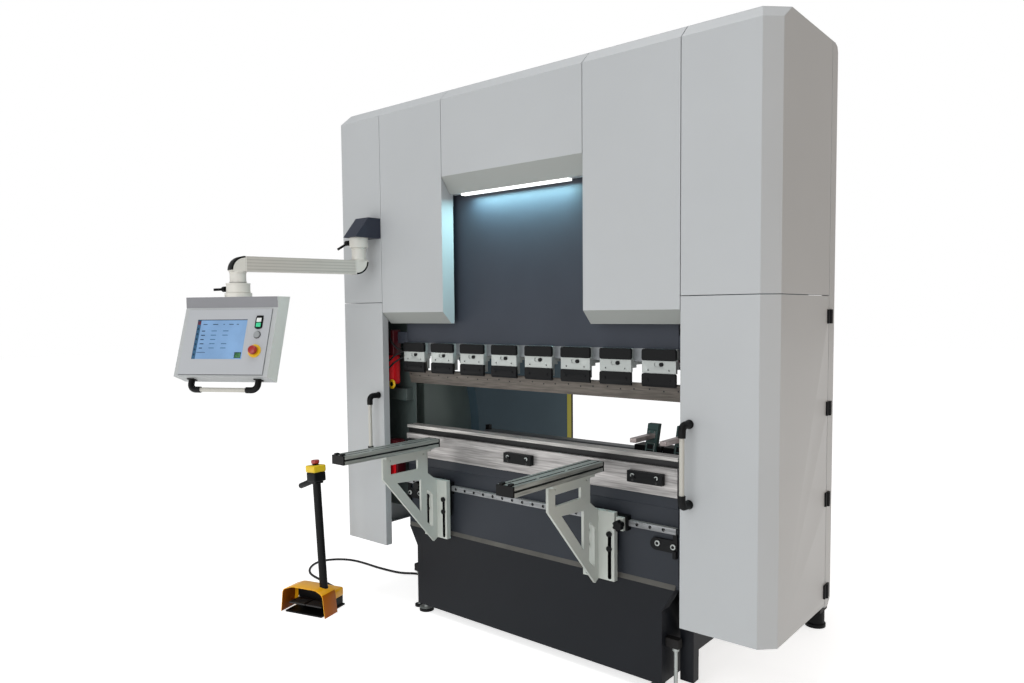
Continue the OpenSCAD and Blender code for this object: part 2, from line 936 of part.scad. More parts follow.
// Finger tower that rides on the gauge beam, with the stop finger in front
module finger() {
    union() {
        difference() {
            block(-90, 48, gauge_y - 42, gauge_y + 42, gauge_z0 + 4, gauge_z1 + 20);
            block(-91, 49, gauge_y - 30 - fit, gauge_y + 30 + fit, gauge_z0 - 9, gauge_z1 + fit);
        }
        along_x(-28, 28)
            polygon([[gauge_y - 42, gauge_z1 - 25], [gauge_y - 64, gauge_z1 - 25],
                [gauge_y - 26, gauge_z1 + 120], [gauge_y + 2, gauge_z1 + 120],
                [gauge_y - 28, gauge_z1 + 12], [gauge_y - 42, gauge_z1 + 12]]);
        block(-16, 16, gauge_y - 205, gauge_y - 36, die_z + 4, die_z + 24);
    }
}

module finger_left() {
    color(finger_green)
        translate([finger_x, 0, 0])
            finger();
}

module finger_right() {
    color(finger_green)
        translate([finger_x + finger_gap, 0, 0])
            finger();
}

// ---- Guards and electric units behind the covers ----

module light_curtains() {
    color(yellow)
        both_sides()
            block(frame_in, frame_in + 40, frame_reach, frame_reach + 68, 700, 1500);
}

module electric_units() {
    x1 = cover_half - 90;
    color(bare_steel) {
        both_sides()
            block(frame_out, x1, 60, 64, 500, 1500);
        block(-x1 + 155, -frame_out - 75, 10, 60, 676, 858);
        block(-x1 + 20, -frame_out - 20, 10, 60, 1086, 1148);
        block(frame_out + 40, x1 - 60, 0, 60, 900, 1120);
        block(frame_out + 40, x1 - 60, 0, 60, 640, 820);
        for (z = [1160, 1240, 1320])
            block(frame_out + 60, x1 - 70, 10, 60, z, z + 56);
        union() {
            difference() {
                block(-cover_half + 45, -cabinet_x, 180, cabinet_y1, 600, cabinet_z1);
                block(-cover_half + 44, -cabinet_x - 3, 183, cabinet_y1 - 3, 603, cabinet_z1 - 3);
            }
            block(-cabinet_x, -frame_out, 300, 340, 640, 680);
            block(-cabinet_x, -frame_out, throat_depth - 15, throat_depth + 25,
                cabinet_z1 - 50, cabinet_z1 - 10);
        }
    }
}

// ---- Support arms ----

// Carriage on the front rail: apron for the bracket's bolts, and block for the locking knob
module carriage() {
    front = flange_y1 + fit;
    bottom = rail_z - 30;
    union() {
        difference() {
            union() {
                block(flange_x[0], knob_x + 16, front, beam_y0 - 2, bottom, rail_z + 30);
                block(flange_x[1] + 2, knob_x + 6, knob_block_y, front, bottom, rail_z + 25);
            }
            block(flange_x[0] - 1, knob_x + 17, rail_y0 - fit, beam_y0 + 1,
                rail_z - rail_h / 2 - fit, rail_z + rail_h / 2 + fit);
            pin_y(knob_x, rail_z - 1, knob_block_y - 1, rail_y0, knob_pin_d + 2 * bore_fit);
        }
        block(flange_x[0], flange_x[1] - 3, front, rail_y0 - fit, rail_z - 134, bottom);
        for (x = bolt_places, z = bolt_heights) {
            pin_y(x, z, flange_y0 - fit, front, 12);
            pin_y(x, z, flange_y0 - 8 - fit, flange_y0 - fit, 24);
        }
    }
}

module carriage_left() {
    color(black)
        translate([arm_left_x, 0, 0])
            mirror([1, 0, 0])
                carriage();
}

module carriage_right() {
    color(black)
        translate([arm_right_x, 0, 0])
            carriage();
}

// Bracket plate with its windows, and the slotted flange that slides on the carriage
module bracket() {
    union() {
        difference() {
            along_x(-6, 6)
                difference() {
                    polygon([[-425, web_z1], [-425, web_z1 - 95], [-105, 418], [flange_y0, 433],
                        [flange_y0, 722], [-92, 728], [-142, 764], [-142, web_z1]]);
                    translate([-381, 795])
                        square([174, 46]);
                    polygon([[-340, 750], [-188, 740], [-188, 577]]);
                    polygon([[-150, 689], [-110, 654], [-110, 486], [-150, 522]]);
                }
            for (y = [-380, -140 - 30])
                pin_x(y, web_z1 - 14, -7, 7, 7);
        }
        block(-30, 30, -425, -142, web_z1, arm_top_z - profile_h);
        difference() {
            block(flange_x[0], flange_x[1], flange_y0, flange_y1, 433, 722);
            for (x = bolt_places) {
                block(x - slot_d / 2, x + slot_d / 2, flange_y0 - 1, flange_y1 + 1,
                    slot_heights[0], slot_heights[1]);
                for (z = slot_heights)
                    pin_y(x, z, flange_y0 - 1, flange_y1 + 1, slot_d);
            }
        }
    }
}

module bracket_left() {
    color(support_white)
        translate([arm_left_x, 0, 0])
            mirror([1, 0, 0])
                bracket();
}

module bracket_right() {
    color(support_white)
        translate([arm_right_x, 0, 0])
            bracket();
}

// One T-slot, opening upwards at the origin
module t_slot() {
    translate([-4, -5])
        square([8, 6]);
    translate([-8, -11])
        square([16, 6.5]);
}

// Slotted profile with its end caps
module profile() {
    y1 = -98;
    z0 = arm_top_z - profile_h;
    along_y(y1 - profile_l, y1)
        difference() {
            translate([-profile_w / 2, z0])
                square([profile_w, profile_h]);
            for (x = [-20, 20]) {
                translate([x, arm_top_z])
                    t_slot();
                translate([x, z0])
                    rotate(180)
                        t_slot();
            }
            for (s = [-1, 1])
                translate([s * profile_w / 2, z0 + profile_h / 2])
                    rotate(-90 * s)
                        t_slot();
        }
    block(-profile_w / 2, profile_w / 2, y1, y1 + 8, z0, arm_top_z);
    block(-profile_w / 2, profile_w / 2, y1 - profile_l - 8, y1 - profile_l, z0, arm_top_z);
}

module profile_left() {
    color(support_white)
        translate([arm_left_x, 0, 0])
            profile();
}

module profile_right() {
    color(support_white)
        translate([arm_right_x, 0, 0])
            profile();
}

// Star knob that locks the carriage on the rail
module knob() {
    translate([knob_x, 0, rail_z - 1])
        union() {
            difference() {
                pin_y(0, 0, -112, -90, 44);
                for (a = [0:60:300])
                    rotate([0, a, 0])
                        pin_y(25, 0, -113, -89, 16);
            }
            pin_y(0, 0, -90, knob_block_y - fit, 26);
            pin_y(0, 0, knob_block_y - 1, rail_y0 - fit, knob_pin_d);
        }
}

module knob_left() {
    color(black)
        translate([arm_left_x, 0, 0])
            mirror([1, 0, 0])
                knob();
}

module knob_right() {
    color(black)
        translate([arm_right_x, 0, 0])
            knob();
}

// ---- Pendant ----

module pendant_bracket() {
    color(cream)
        union() {
            along_x(arm_x - 40, arm_x + 58)
                polygon([[front_y, collar_z1], [arm_y - 66, collar_z1], [arm_y + 16, collar_z1 + 101],
                    [front_y, collar_z1 + 101]]);
            difference() {
                post(arm_x, arm_y, collar_z0, collar_z1 + 1, 92);
                post(arm_x, arm_y, collar_z0 - 1, collar_z1 - 4, pivot_d + 2 * bore_fit);
            }
        }
}

// Outline of the arm's tube from the side, with a round elbow at each end
module arm_outline() {
    h = tube_z1 - tube_z0;
    r = h - 6;
    difference() {
        translate([-36, tube_z0])
            square([swing_l + 72, h]);
        difference() {
            translate([-37, tube_z0 - 1])
                square([r + 1, r + 1]);
            translate([r - 36, tube_z0 + r])
                circle(r = r);
        }
        difference() {
            translate([swing_l + 36 - r, tube_z1 - r])
                square([r + 1, r + 1]);
            translate([swing_l + 36 - r, tube_z1 - r])
                circle(r = r);
        }
    }
}

// Swinging arm: both necks and the tube between them
module pendant_arm() {
    color(cream)
        union() {
            post(arm_x, arm_y, tube_z1 - 2, collar_z0 - fit, 72);
            post(arm_x, arm_y, collar_z0 - 1, collar_z1 - 5, pivot_d);
            translate([arm_x, arm_y, 0])
                rotate([0, 0, 180 + swing_turn])
                    along_y(-30, 30)
                        arm_outline();
            difference() {
                union() {
                    post(hang_x, hang_y, box_z + 50, tube_z0 + 2, 72);
                    post(hang_x, hang_y, box_z + 18 + fit, box_z + 63, 105);
                }
                post(hang_x, hang_y, box_z, box_z + 58, hang_d + 2 * bore_fit);
            }
        }
}

// Clamping lever with its hub at the origin: hub along X, bar to the front, sloping down by
// drop and turned to the left by turn
module lever(reach, bar, drop, turn) {
    union() {
        pin_x(0, 0, -reach + 4, 0, 14);
        pin_x(0, 0, -reach - 12, -reach + 12, 26);
        translate([-reach, 0, 0])
            rotate([90 + drop, 0, -turn])
                cylinder(h = bar, d = 12);
    }
}

module upper_lever() {
    color(black)
        translate([arm_x - 46 - fit, arm_y, collar_z1 - 20])
            lever(41, 64, 32, 16);
}

module lower_lever() {
    color(black)
        translate([hang_x - 52.5 - fit, hang_y, box_z + 39])
            lever(63, 50, 3, 30);
}

// Frame of the control box: X to its right, Y to its back, Z up from its top
module box_place() {
    translate([hang_x, hang_y, box_z])
        rotate([0, 0, box_turn])
            children();
}

// Frame of the sloping face: X right, Z up the face from its top edge, Y into the box
module on_face() {
    box_place()
        translate([0, -59, -49])
            rotate([-box_tilt, 0, 0])
                children();
}

// Box with its sloping front, and the swivel flange that is screwed on its top
module control_box() {
    down = [sin(box_tilt), cos(box_tilt)];
    back_y = -59 + 49 * tan(box_tilt) + box_t / cos(box_tilt);
    color(support_white) {
        difference() {
            union() {
                box_place()
                    along_x(-box_w / 2, box_w / 2)
                        polygon([[-59, 0], [-59, -49],
                            [-59 - box_face * down[0], -49 - box_face * down[1]],
                            [-59 - box_face * down[0] + box_t * down[1],
                                -49 - box_face * down[1] - box_t * down[0]],
                            [back_y, 0]]);
                on_face() {
                    block(-205, 205, -5, 1, -box_face + 9, -9);
                    pin_y(twin_x, -206, -9, 1, 60);
                }
            }
            on_face() {
                block(-153, 93, -6, -2, -243, -58);
                block(twin_x - 17, twin_x + 17, -6, 20, -98, -40);
                pin_y(twin_x, -131, -6, 20, 30);
                pin_y(twin_x, -206, -10, 22, stem_d + 2 * fit);
            }
        }
        box_place()
            union() {
                post(0, 0, 0, 18, 120);
                post(0, 0, 18, 56, hang_d);
            }
    }
}

module screen() {
    color(black)
        on_face()
            block(-153, 93, -4, -2, -243, -58);
}

// Bow handle under the box
module box_handle() {
    drop = 60;
    color(cream)
        on_face()
            union() {
                for (s = [-1, 1])
                    translate([s * 164, box_t / 2, -box_face - drop])
                        cylinder(h = drop, d = 22);
                translate([-175, box_t / 2, -box_face - drop])
                    rotate([0, 90, 0])
                        cylinder(h = 350, d = 22);
            }
}

// Push button plunger on the face
module plunger(x0, x1, z0, z1) {
    on_face()
        block(x0 + fit, x1 - fit, -12, 14, z0 + fit, z1 - fit);
}

module start_button() {
    color(finger_green)
        plunger(twin_x - 17, twin_x + 17, -69, -40);
}

module stop_button() {
    color(support_white)
        plunger(twin_x - 17, twin_x + 17, -98, -69);
}

module reset_button() {
    color(bare_steel)
        on_face()
            pin_y(twin_x, -131, -13, 14, 30 - 2 * fit);
}

module estop_button() {
    color(red)
        on_face() {
            pin_y(twin_x, -206, -22, 14, stem_d);
            pin_y(twin_x, -206, -34, -16, 40);
        }
}

// ---- Foot switch ----

module foot_place() {
    translate([foot_x, foot_y, 0])
        rotate([0, 0, foot_turn])
            children();
}

module foot_base() {
    color(black)
        foot_place()
            union() {
                block(-114.5, 114.5, 5, guard_l + 3, 0, 8);
                block(-106, 106, 134, guard_l - 2, 8, 92);
                block(-100, 100, 124, 134, 8, 34);
                for (x = [-106, 0, 106])
                    block(x - 2.5, x + 2.5, 106, 124, 8, 52);
                pin_x(pedal_y, pedal_z, -108.5, 108.5, 8);
                pin_y(gland_x, 34, guard_l - 2, guard_l + 13, 24);
            }
}

// Guard seen from the front, set in by d
function guard_outline(d) = [
    [-guard_w / 2 + d, -1], [-guard_w / 2 + 13 + d * 0.9, guard_h - 21 - d * 0.6],
    [-69 + d * 0.2, guard_h - d], [85 - d * 0.2, guard_h - d],
    [guard_w / 2 - 13 - d * 0.9, guard_h - 21 - d * 0.6], [guard_w / 2 - d, -1]];

module foot_guard() {
    color(orange)
        foot_place()
            intersection() {
                union() {
                    difference() {
                        along_y(0, 104)
                            polygon(guard_outline(0));
                        along_y(-1, 101)
                            polygon(guard_outline(guard_t));
                        block(-109, 109, 90, 110, -2, 96);
                        block(-115, 115, 90, 110, -2, 8);
                    }
                    difference() {
                        block(-112, 112, 101, guard_l, 8, 99);
                        block(-109, 109, 100, guard_l + 1, 7, 96);
                        block(-113, 113, 150, guard_l + 1, 7, 52);
                    }
                    block(-106, 106, 136, guard_l, 92, 97);
                    block(-112, 112, guard_l - 2, guard_l, 52, 99);
                }
                block(-big, big, -1, big, 0, guard_h);
            }
}

// Tread of one pedal with its hinge tube
module pedal(x0, x1) {
    color(bare_steel)
        foot_place()
            difference() {
                union() {
                    block(x0, x1, 20, pedal_y - 4, pedal_z + 2, pedal_z + 10);
                    pin_x(pedal_y, pedal_z, x0, x1, 18);
                }
                pin_x(pedal_y, pedal_z, x0 - 1, x1 + 1, 8 + 2 * bore_fit);
            }
}

module pedal_left() {
    pedal(-103, -3);
}

module pedal_right() {
    pedal(3, 103);
}

// Frame of the leaning column, Z along it from the guard's side
module column_place() {
    foot_place()
        translate([91, 69, 0])
            rotate([0, 0, -foot_turn])
                translate([0, 0, 8])
                    rotate([0, -column_lean, 0])
                        children();
}

module stop_column() {
    color(black)
        union() {
            column_place() {
                difference() {
                    block(-38, 38, -38, 38, column_l + 139, column_l + 220);
                    post(0, 0, column_l + 186, column_l + 221, stem_d + 2 * fit);
                }
                translate([-18, 0, column_l + 132])
                    rotate([0, -120, 0])
                        cylinder(h = 96, d = 26);
            }
            difference() {
                column_place()
                    post(0, 0, 90, column_l + 146, 40);
                foot_place()
                    along_y(-1, 105)
                        polygon(guard_outline(0));
            }
        }
}

module column_stop() {
    color(red)
        column_place() {
            post(0, 0, column_l + 196, column_l + 236, stem_d);
            post(0, 0, column_l + 228, column_l + 246, 42);
        }
}

function spline(p, i, t) =
    let (a = p[max(i - 1, 0)], b = p[i], c = p[i + 1], e = p[min(i + 2, len(p) - 1)])
    0.5 * (2 * b + (c - a) * t + (2 * a - 5 * b + 4 * c - e) * t * t
        + (3 * b - a - 3 * c + e) * t * t * t);

function way_points(p, n) = [
    for (i = [0:len(p) - 2])
        for (k = [0:n - 1])
            spline(p, i, k / n),
    p[len(p) - 1]];

function unit(v) = v / norm(v);

function way_dir(p, i) = unit(p[min(i + 1, len(p) - 1)] - p[max(i - 1, 0)]);

function ring_side(d) = abs(d[2]) > 0.9 ? unit(cross([0, 1, 0], d)) : unit(cross([0, 0, 1], d));

function ring(c, d, r, n) = [
    for (k = [0:n - 1])
        c + r * (cos(360 * k / n) * ring_side(d) + sin(360 * k / n) * cross(d, ring_side(d)))];

module tube(p, r, n) {
    m = len(p);
    points = [for (i = [0:m - 1]) each ring(p[i], way_dir(p, i), r, n)];
    sides = [
        for (i = [0:m - 2])
            for (k = [0:n - 1])
                let (q = (k + 1) % n)
                each [[i * n + k, (i + 1) * n + q, i * n + q],
                    [i * n + k, (i + 1) * n + k, (i + 1) * n + q]]];
    first = [for (k = [0:n - 1]) k];
    last = [for (k = [0:n - 1]) (m - 1) * n + n - 1 - k];
    polyhedron(points, concat([first, last], sides));
}

module foot_cable() {
    color(black)
        tube(way_points(cable_way, 3), cable_d / 2, 8);
}

side_plates();
frame_ties();
bed_plate();
bed_box();
bench();
bottom_die();
clamp_blocks();
arm_rail();
levelling_feet();
front_covers();
outer_covers();
rear_posts();
roof_cover();
hinge_leaves();
work_light();
servo_motors();
linear_rails();
pendant_bracket();
light_curtains();
electric_units();
foot_base();
foot_guard();
stop_column();
foot_cable();
ram();
clamp_bodies();
clamp_plates();
top_punch();
nuts_and_runners();
laser_arms();
screw_left();
screw_right();
door_left();
door_right();
handle_left();
handle_right();
pendant_arm();
control_box();
screen();
box_handle();
start_button();
stop_button();
reset_button();
estop_button();
upper_lever();
lower_lever();
column_stop();
pedal_left();
pedal_right();
carriage_left();
carriage_right();
bracket_left();
bracket_right();
profile_left();
profile_right();
knob_left();
knob_right();
gauge_beam();
finger_left();
finger_right();
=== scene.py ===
"""Looks of a servo-electric press brake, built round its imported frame.

Each sub-assembly is a class that holds its sizes and builds its pieces. Every finish is a
frozen dataclass that makes its own procedural material. Lengths are in metres.
"""

from __future__ import annotations

import json
import logging
import math
from dataclasses import dataclass, field
from enum import Enum
from typing import Callable, Iterable, Optional, Sequence

import bmesh
import bpy
from mathutils import Matrix, Vector

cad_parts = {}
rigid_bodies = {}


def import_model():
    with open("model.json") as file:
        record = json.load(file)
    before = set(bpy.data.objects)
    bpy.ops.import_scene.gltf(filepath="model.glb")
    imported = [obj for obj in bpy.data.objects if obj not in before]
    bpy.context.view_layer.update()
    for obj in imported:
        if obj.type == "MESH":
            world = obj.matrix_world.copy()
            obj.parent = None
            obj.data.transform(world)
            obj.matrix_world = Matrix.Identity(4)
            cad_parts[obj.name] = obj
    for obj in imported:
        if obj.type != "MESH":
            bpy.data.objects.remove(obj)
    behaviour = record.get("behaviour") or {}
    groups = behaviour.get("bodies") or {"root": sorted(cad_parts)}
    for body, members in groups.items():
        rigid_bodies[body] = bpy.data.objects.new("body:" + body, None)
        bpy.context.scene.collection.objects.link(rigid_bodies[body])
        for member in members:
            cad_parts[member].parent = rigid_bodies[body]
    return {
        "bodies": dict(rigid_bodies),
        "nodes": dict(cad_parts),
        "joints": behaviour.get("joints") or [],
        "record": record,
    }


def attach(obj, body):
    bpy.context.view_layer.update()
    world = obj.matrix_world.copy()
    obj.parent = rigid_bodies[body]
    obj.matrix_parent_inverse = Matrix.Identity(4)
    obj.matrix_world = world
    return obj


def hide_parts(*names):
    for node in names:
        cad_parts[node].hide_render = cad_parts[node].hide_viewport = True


LOG = logging.getLogger("press_brake")
Pair = tuple[float, float]
Point = tuple[float, float, float]


class Side(Enum):
    """Left or right of the machine, as the operator sees it."""

    LEFT = -1
    RIGHT = 1

    @property
    def sign(self) -> int:
        """Sign of X on this side."""
        return self.value

    @property
    def word(self) -> str:
        """Name of this side in node names."""
        return self.name.lower()


class Axis(Enum):
    """Axis of a frame, as the direction that it points in."""

    X = (1.0, 0.0, 0.0)
    Y = (0.0, 1.0, 0.0)
    Z = (0.0, 0.0, 1.0)

    @property
    def way(self) -> Vector:
        """Direction of the axis."""
        return Vector(self.value)


def linear(code: str) -> tuple[float, float, float, float]:
    """Turns a screen colour into the linear values that shaders take.

    Args:
        code: Six hexadecimal digits.

    Returns:
        Linear red, green, blue and an alpha of 1.
    """
    parts = [int(code[i : i + 2], 16) / 255 for i in (0, 2, 4)]
    values = [p / 12.92 if p <= 0.04045 else ((p + 0.055) / 1.055) ** 2.4 for p in parts]
    return (values[0], values[1], values[2], 1.0)


# ---------------------------------------------------------------- finishes


@dataclass(frozen=True)
class Finish:
    """A surface finish that builds its own node material.

    Attributes:
        name: Name of the material.
        colour: Base colour, six hexadecimal digits.
        slot: Material slot of the record that the finish belongs to; not used by the script.
        roughness: Mean roughness.
        metallic: 0 for paint and plastic, 1 for bare metal.
        coat: Strength of a clear top coat.
        variation: How far the colour drifts over the surface.
        drift: Scale of that drift, per metre.
        bump: Height of the fine texture, in metres.
        grain: Scale of the fine texture, per metre.
        stretch: Squeeze of the texture along X, Y and Z, for brushed metal.
        shine: Strength of the plain reflection, 0.5 for common plastic and paint.
    """

    name: str
    colour: str
    slot: str
    roughness: float = 0.5
    metallic: float = 0.0
    coat: float = 0.0
    variation: float = 0.06
    drift: float = 3.0
    bump: float = 0.00004
    grain: float = 900.0
    stretch: Point = (1.0, 1.0, 1.0)
    shine: float = 0.5

    def material(self) -> bpy.types.Material:
        """Builds the material on first use.

        Returns:
            The material, shared by every piece with this finish.
        """
        title = f"finish_{self.name}"
        found = bpy.data.materials.get(title)
        if found is not None:
            return found
        made = bpy.data.materials.new(title)
        made.use_nodes = True
        made.diffuse_color = linear(self.colour)
        self.wire(made.node_tree)
        return made

    def wire(self, tree: bpy.types.NodeTree) -> None:
        """Wires the shader.

        Args:
            tree: Node tree of the material.
        """
        nodes, links = tree.nodes, tree.links
        shader = nodes["Principled BSDF"]
        shader.inputs["Metallic"].default_value = self.metallic
        shader.inputs["Specular IOR Level"].default_value = self.shine
        shader.inputs["Coat Weight"].default_value = self.coat
        shader.inputs["Coat Roughness"].default_value = 0.15
        where = nodes.new("ShaderNodeTexCoord")
        place = nodes.new("ShaderNodeMapping")
        place.inputs["Scale"].default_value = self.stretch
        links.new(where.outputs["Object"], place.inputs["Vector"])
        cloud = nodes.new("ShaderNodeTexNoise")
        cloud.inputs["Scale"].default_value = self.drift
        cloud.inputs["Detail"].default_value = 4.0
        links.new(place.outputs["Vector"], cloud.inputs["Vector"])
        tint = nodes.new("ShaderNodeValToRGB")
        base = linear(self.colour)
        low = tuple(c * (1 - self.variation) for c in base[:3]) + (1.0,)
        high = tuple(min(1.0, c * (1 + self.variation)) for c in base[:3]) + (1.0,)
        tint.color_ramp.elements[0].position = 0.3
        tint.color_ramp.elements[0].color = low
        tint.color_ramp.elements[1].position = 0.7
        tint.color_ramp.elements[1].color = high
        links.new(cloud.outputs["Fac"], tint.inputs["Fac"])
        links.new(tint.outputs["Color"], shader.inputs["Base Color"])
        fine = nodes.new("ShaderNodeTexNoise")
        fine.inputs["Scale"].default_value = self.grain
        fine.inputs["Detail"].default_value = 3.0
        links.new(place.outputs["Vector"], fine.inputs["Vector"])
        gloss = nodes.new("ShaderNodeMapRange")
        gloss.inputs["To Min"].default_value = max(0.02, self.roughness - 0.08)
        gloss.inputs["To Max"].default_value = min(1.0, self.roughness + 0.08)
        links.new(fine.outputs["Fac"], gloss.inputs["Value"])
        links.new(gloss.outputs["Result"], shader.inputs["Roughness"])
        relief = nodes.new("ShaderNodeBump")
        relief.inputs["Strength"].default_value = 0.6
        relief.inputs["Distance"].default_value = self.bump
        links.new(fine.outputs["Fac"], relief.inputs["Height"])
        links.new(relief.outputs["Normal"], shader.inputs["Normal"])


@dataclass(frozen=True)
class Glow(Finish):
    """A lit surface, such as a lamp's diffuser.

    Attributes:
        strength: Strength of the light it gives.
    """

    strength: float = 1.0

    def wire(self, tree: bpy.types.NodeTree) -> None:
        """Adds the light to the plain finish.

        Args:
            tree: Node tree of the material.
        """
        super().wire(tree)
        shader = tree.nodes["Principled BSDF"]
        shader.inputs["Emission Color"].default_value = linear(self.colour)
        shader.inputs["Emission Strength"].default_value = self.strength


@dataclass(frozen=True)
class Streaked(Finish):
    """Worn metal whose streaks run along the squeezed axis.

    Attributes:
        fine: Scale of the thin scratches, per metre.
        scratch: How much the scratches darken the metal.
    """

    fine: float = 160.0
    scratch: float = 0.35

    def wire(self, tree: bpy.types.NodeTree) -> None:
        """Adds thin dark scratches to the plain finish.

        Args:
            tree: Node tree of the material.
        """
        super().wire(tree)
        thin = tree.nodes.new("ShaderNodeTexNoise")
        thin.inputs["Scale"].default_value = self.fine
        thin.inputs["Detail"].default_value = 2.0
        place = next(n for n in tree.nodes if n.bl_idname == "ShaderNodeMapping")
        tree.links.new(place.outputs["Vector"], thin.inputs["Vector"])
        darken(tree, thin.outputs["Fac"], self.scratch, (0.35, 0.62))


@dataclass(frozen=True)
class Ribbed(Finish):
    """A pressed tube with fine level grooves, whose dark lines are painted shade.

    Attributes:
        pitch: Distance from groove to groove.
        depth: How much a groove darkens the paint, as painted shade.
    """

    pitch: float = 0.012
    depth: float = 0.2

    def wire(self, tree: bpy.types.NodeTree) -> None:
        """Adds the grooves' dark lines, painted shade, to the plain finish.

        Args:
            tree: Node tree of the material.
        """
        super().wire(tree)
        where = next(n for n in tree.nodes if n.bl_idname == "ShaderNodeTexCoord")
        wave = tree.nodes.new("ShaderNodeTexWave")
        wave.bands_direction = "Z"
        wave.inputs["Scale"].default_value = math.tau / 20 / self.pitch
        tree.links.new(where.outputs["Object"], wave.inputs["Vector"])
        darken(tree, wave.outputs["Fac"], self.depth, (0.0, 0.35))


def darken(tree: bpy.types.NodeTree, pattern: bpy.types.NodeSocket, depth: float,
           edge: Pair) -> None:
    """Darkens the base colour of a shader where a pattern is low.

    Args:
        tree: Node tree of the material.
        pattern: Output that gives the pattern.
        depth: How much the colour darkens.
        edge: Values of the pattern between which the dark fades out.
    """
    nodes, links = tree.nodes, tree.links
    level = nodes.new("ShaderNodeMapRange")
    level.inputs["From Min"].default_value, level.inputs["From Max"].default_value = edge
    level.inputs["To Min"].default_value = 1.0 - depth
    level.inputs["To Max"].default_value = 1.0
    links.new(pattern, level.inputs["Value"])
    base = nodes["Principled BSDF"].inputs["Base Color"]
    product = nodes.new("ShaderNodeMix")
    product.data_type = "RGBA"
    product.blend_type = "MULTIPLY"
    factor, colour, shade = (product.inputs[i] for i in (0, 6, 7))
    factor.default_value = 1.0
    links.new(base.links[0].from_socket, colour)
    links.new(level.outputs["Result"], shade)
    links.new(product.outputs[2], base)


COVER = Finish("cover_paint_light_grey", "b6b9bb", "cover_paint", 0.42, coat=0.1, variation=0.025,
               drift=1.6, bump=0.00003, shine=0.35)
# Painted shade: a darker copy of the cover paint for the covers' down-facing lower slopes.
COVER_SHADE = Finish("cover_paint_lower_slope", "989b98", "cover_paint", 0.42, coat=0.1,
                     variation=0.04, drift=1.6, bump=0.00003, shine=0.35)
MACHINE = Finish("machine_paint_blue_grey", "292d34", "machine_paint", 0.5, variation=0.10,
                 bump=0.00006, shine=0.25)
RAM_PAINT = Finish("ram_paint_navy_grey", "363a43", "machine_paint", 0.5, variation=0.08,
                   bump=0.00005, shine=0.25)
FRAME_PAINT = Finish("frame_paint_blue_grey", "495e69", "machine_paint", 0.55, variation=0.08,
                     bump=0.00006, shine=0.2)
UNDERSIDE = Finish("underside_dark", "1c1b1b", "machine_paint", 0.6, variation=0.1, shine=0.2)
CHARCOAL = Finish("bed_paint_charcoal", "0e1117", "bed_paint", 0.5, variation=0.10, shine=0.2)
LEDGE = Finish("ledge_worn_grey", "5a5955", "bed_paint", 0.5, variation=0.2, drift=9.0, shine=0.3)
SUPPORT = Finish("support_paint_off_white", "bfc3bd", "support_paint", 0.5, variation=0.03,
                 bump=0.00006, shine=0.35)
BOX_PAINT = Finish("box_paint_light_grey", "adb0b1", "support_paint", 0.45, variation=0.02,
                   bump=0.00005, shine=0.35)
# Painted light: a much lighter copy of the box paint for the control box's side faces.
BOX_SIDE_LIT = Finish("box_side_grey", "e6e6e1", "support_paint", 0.45, variation=0.02,
                  bump=0.00005, shine=0.35)
HOOD_STRIP = Finish("box_strip_grey", "828387", "support_paint", 0.45, variation=0.02,
                    bump=0.00005, shine=0.35)
PANEL = Finish("panel_grey", "abaeb2", "support_paint", 0.4, variation=0.015, bump=0.00003,
               shine=0.35)
# Dark grey for the thin line round the panel, a painted shadow in its gap, and for the real bezel
# of the grey key.
SEAM_SHADOW_AND_BEZEL = Finish("panel_seam", "5c5e62", "support_paint", 0.6, variation=0.05)
CREAM = Finish("pendant_paint_cream", "d3d1ca", "pendant_paint", 0.42, coat=0.1, variation=0.03,
               shine=0.35)
RIBBED = Ribbed("pendant_tube_ribbed", "bbb8b1", "pendant_paint", 0.45, variation=0.05, shine=0.35,
                pitch=0.0145, depth=0.24)
NAVY = Finish("hood_navy_grey", "2b303d", "machine_paint", 0.45, variation=0.08, shine=0.3)
ORANGE = Finish("guard_paint_orange", "ffb412", "guard_paint", 0.32, coat=0.15, variation=0.05,
                shine=0.35)
# Painted shade: darker copies of the guard's orange for its outer sides and for its inner and
# lower faces.
ORANGE_SIDE_SHADE = Finish("guard_paint_side", "b2600c", "guard_paint", 0.4, variation=0.07, shine=0.15)
ORANGE_INNER_SHADE = Finish("guard_paint_inner", "8a4a0c", "guard_paint", 0.5, variation=0.1,
                      shine=0.12)
YELLOW = Finish("post_paint_yellow", "bcb41c", "yellow_paint", 0.45, variation=0.04)
YELLOW_BOX = Finish("box_yellow", "e0bd16", "yellow_paint", 0.4, variation=0.05)
RED = Finish("laser_paint_red", "d00a18", "red_paint", 0.4, coat=0.05, variation=0.06, shine=0.25)
# Painted shade: a darker copy of the laser red for the arms' heads and the red unit's upper half.
RED_SHADE = Finish("laser_paint_deep_red", "480a13", "red_paint", 0.4, variation=0.08, shine=0.3)
STEEL = Streaked("ground_steel", "aeabaa", "ground_steel", 0.42, 0.45, variation=0.42, drift=30.0,
                 grain=260.0, stretch=(0.05, 1.0, 1.0))
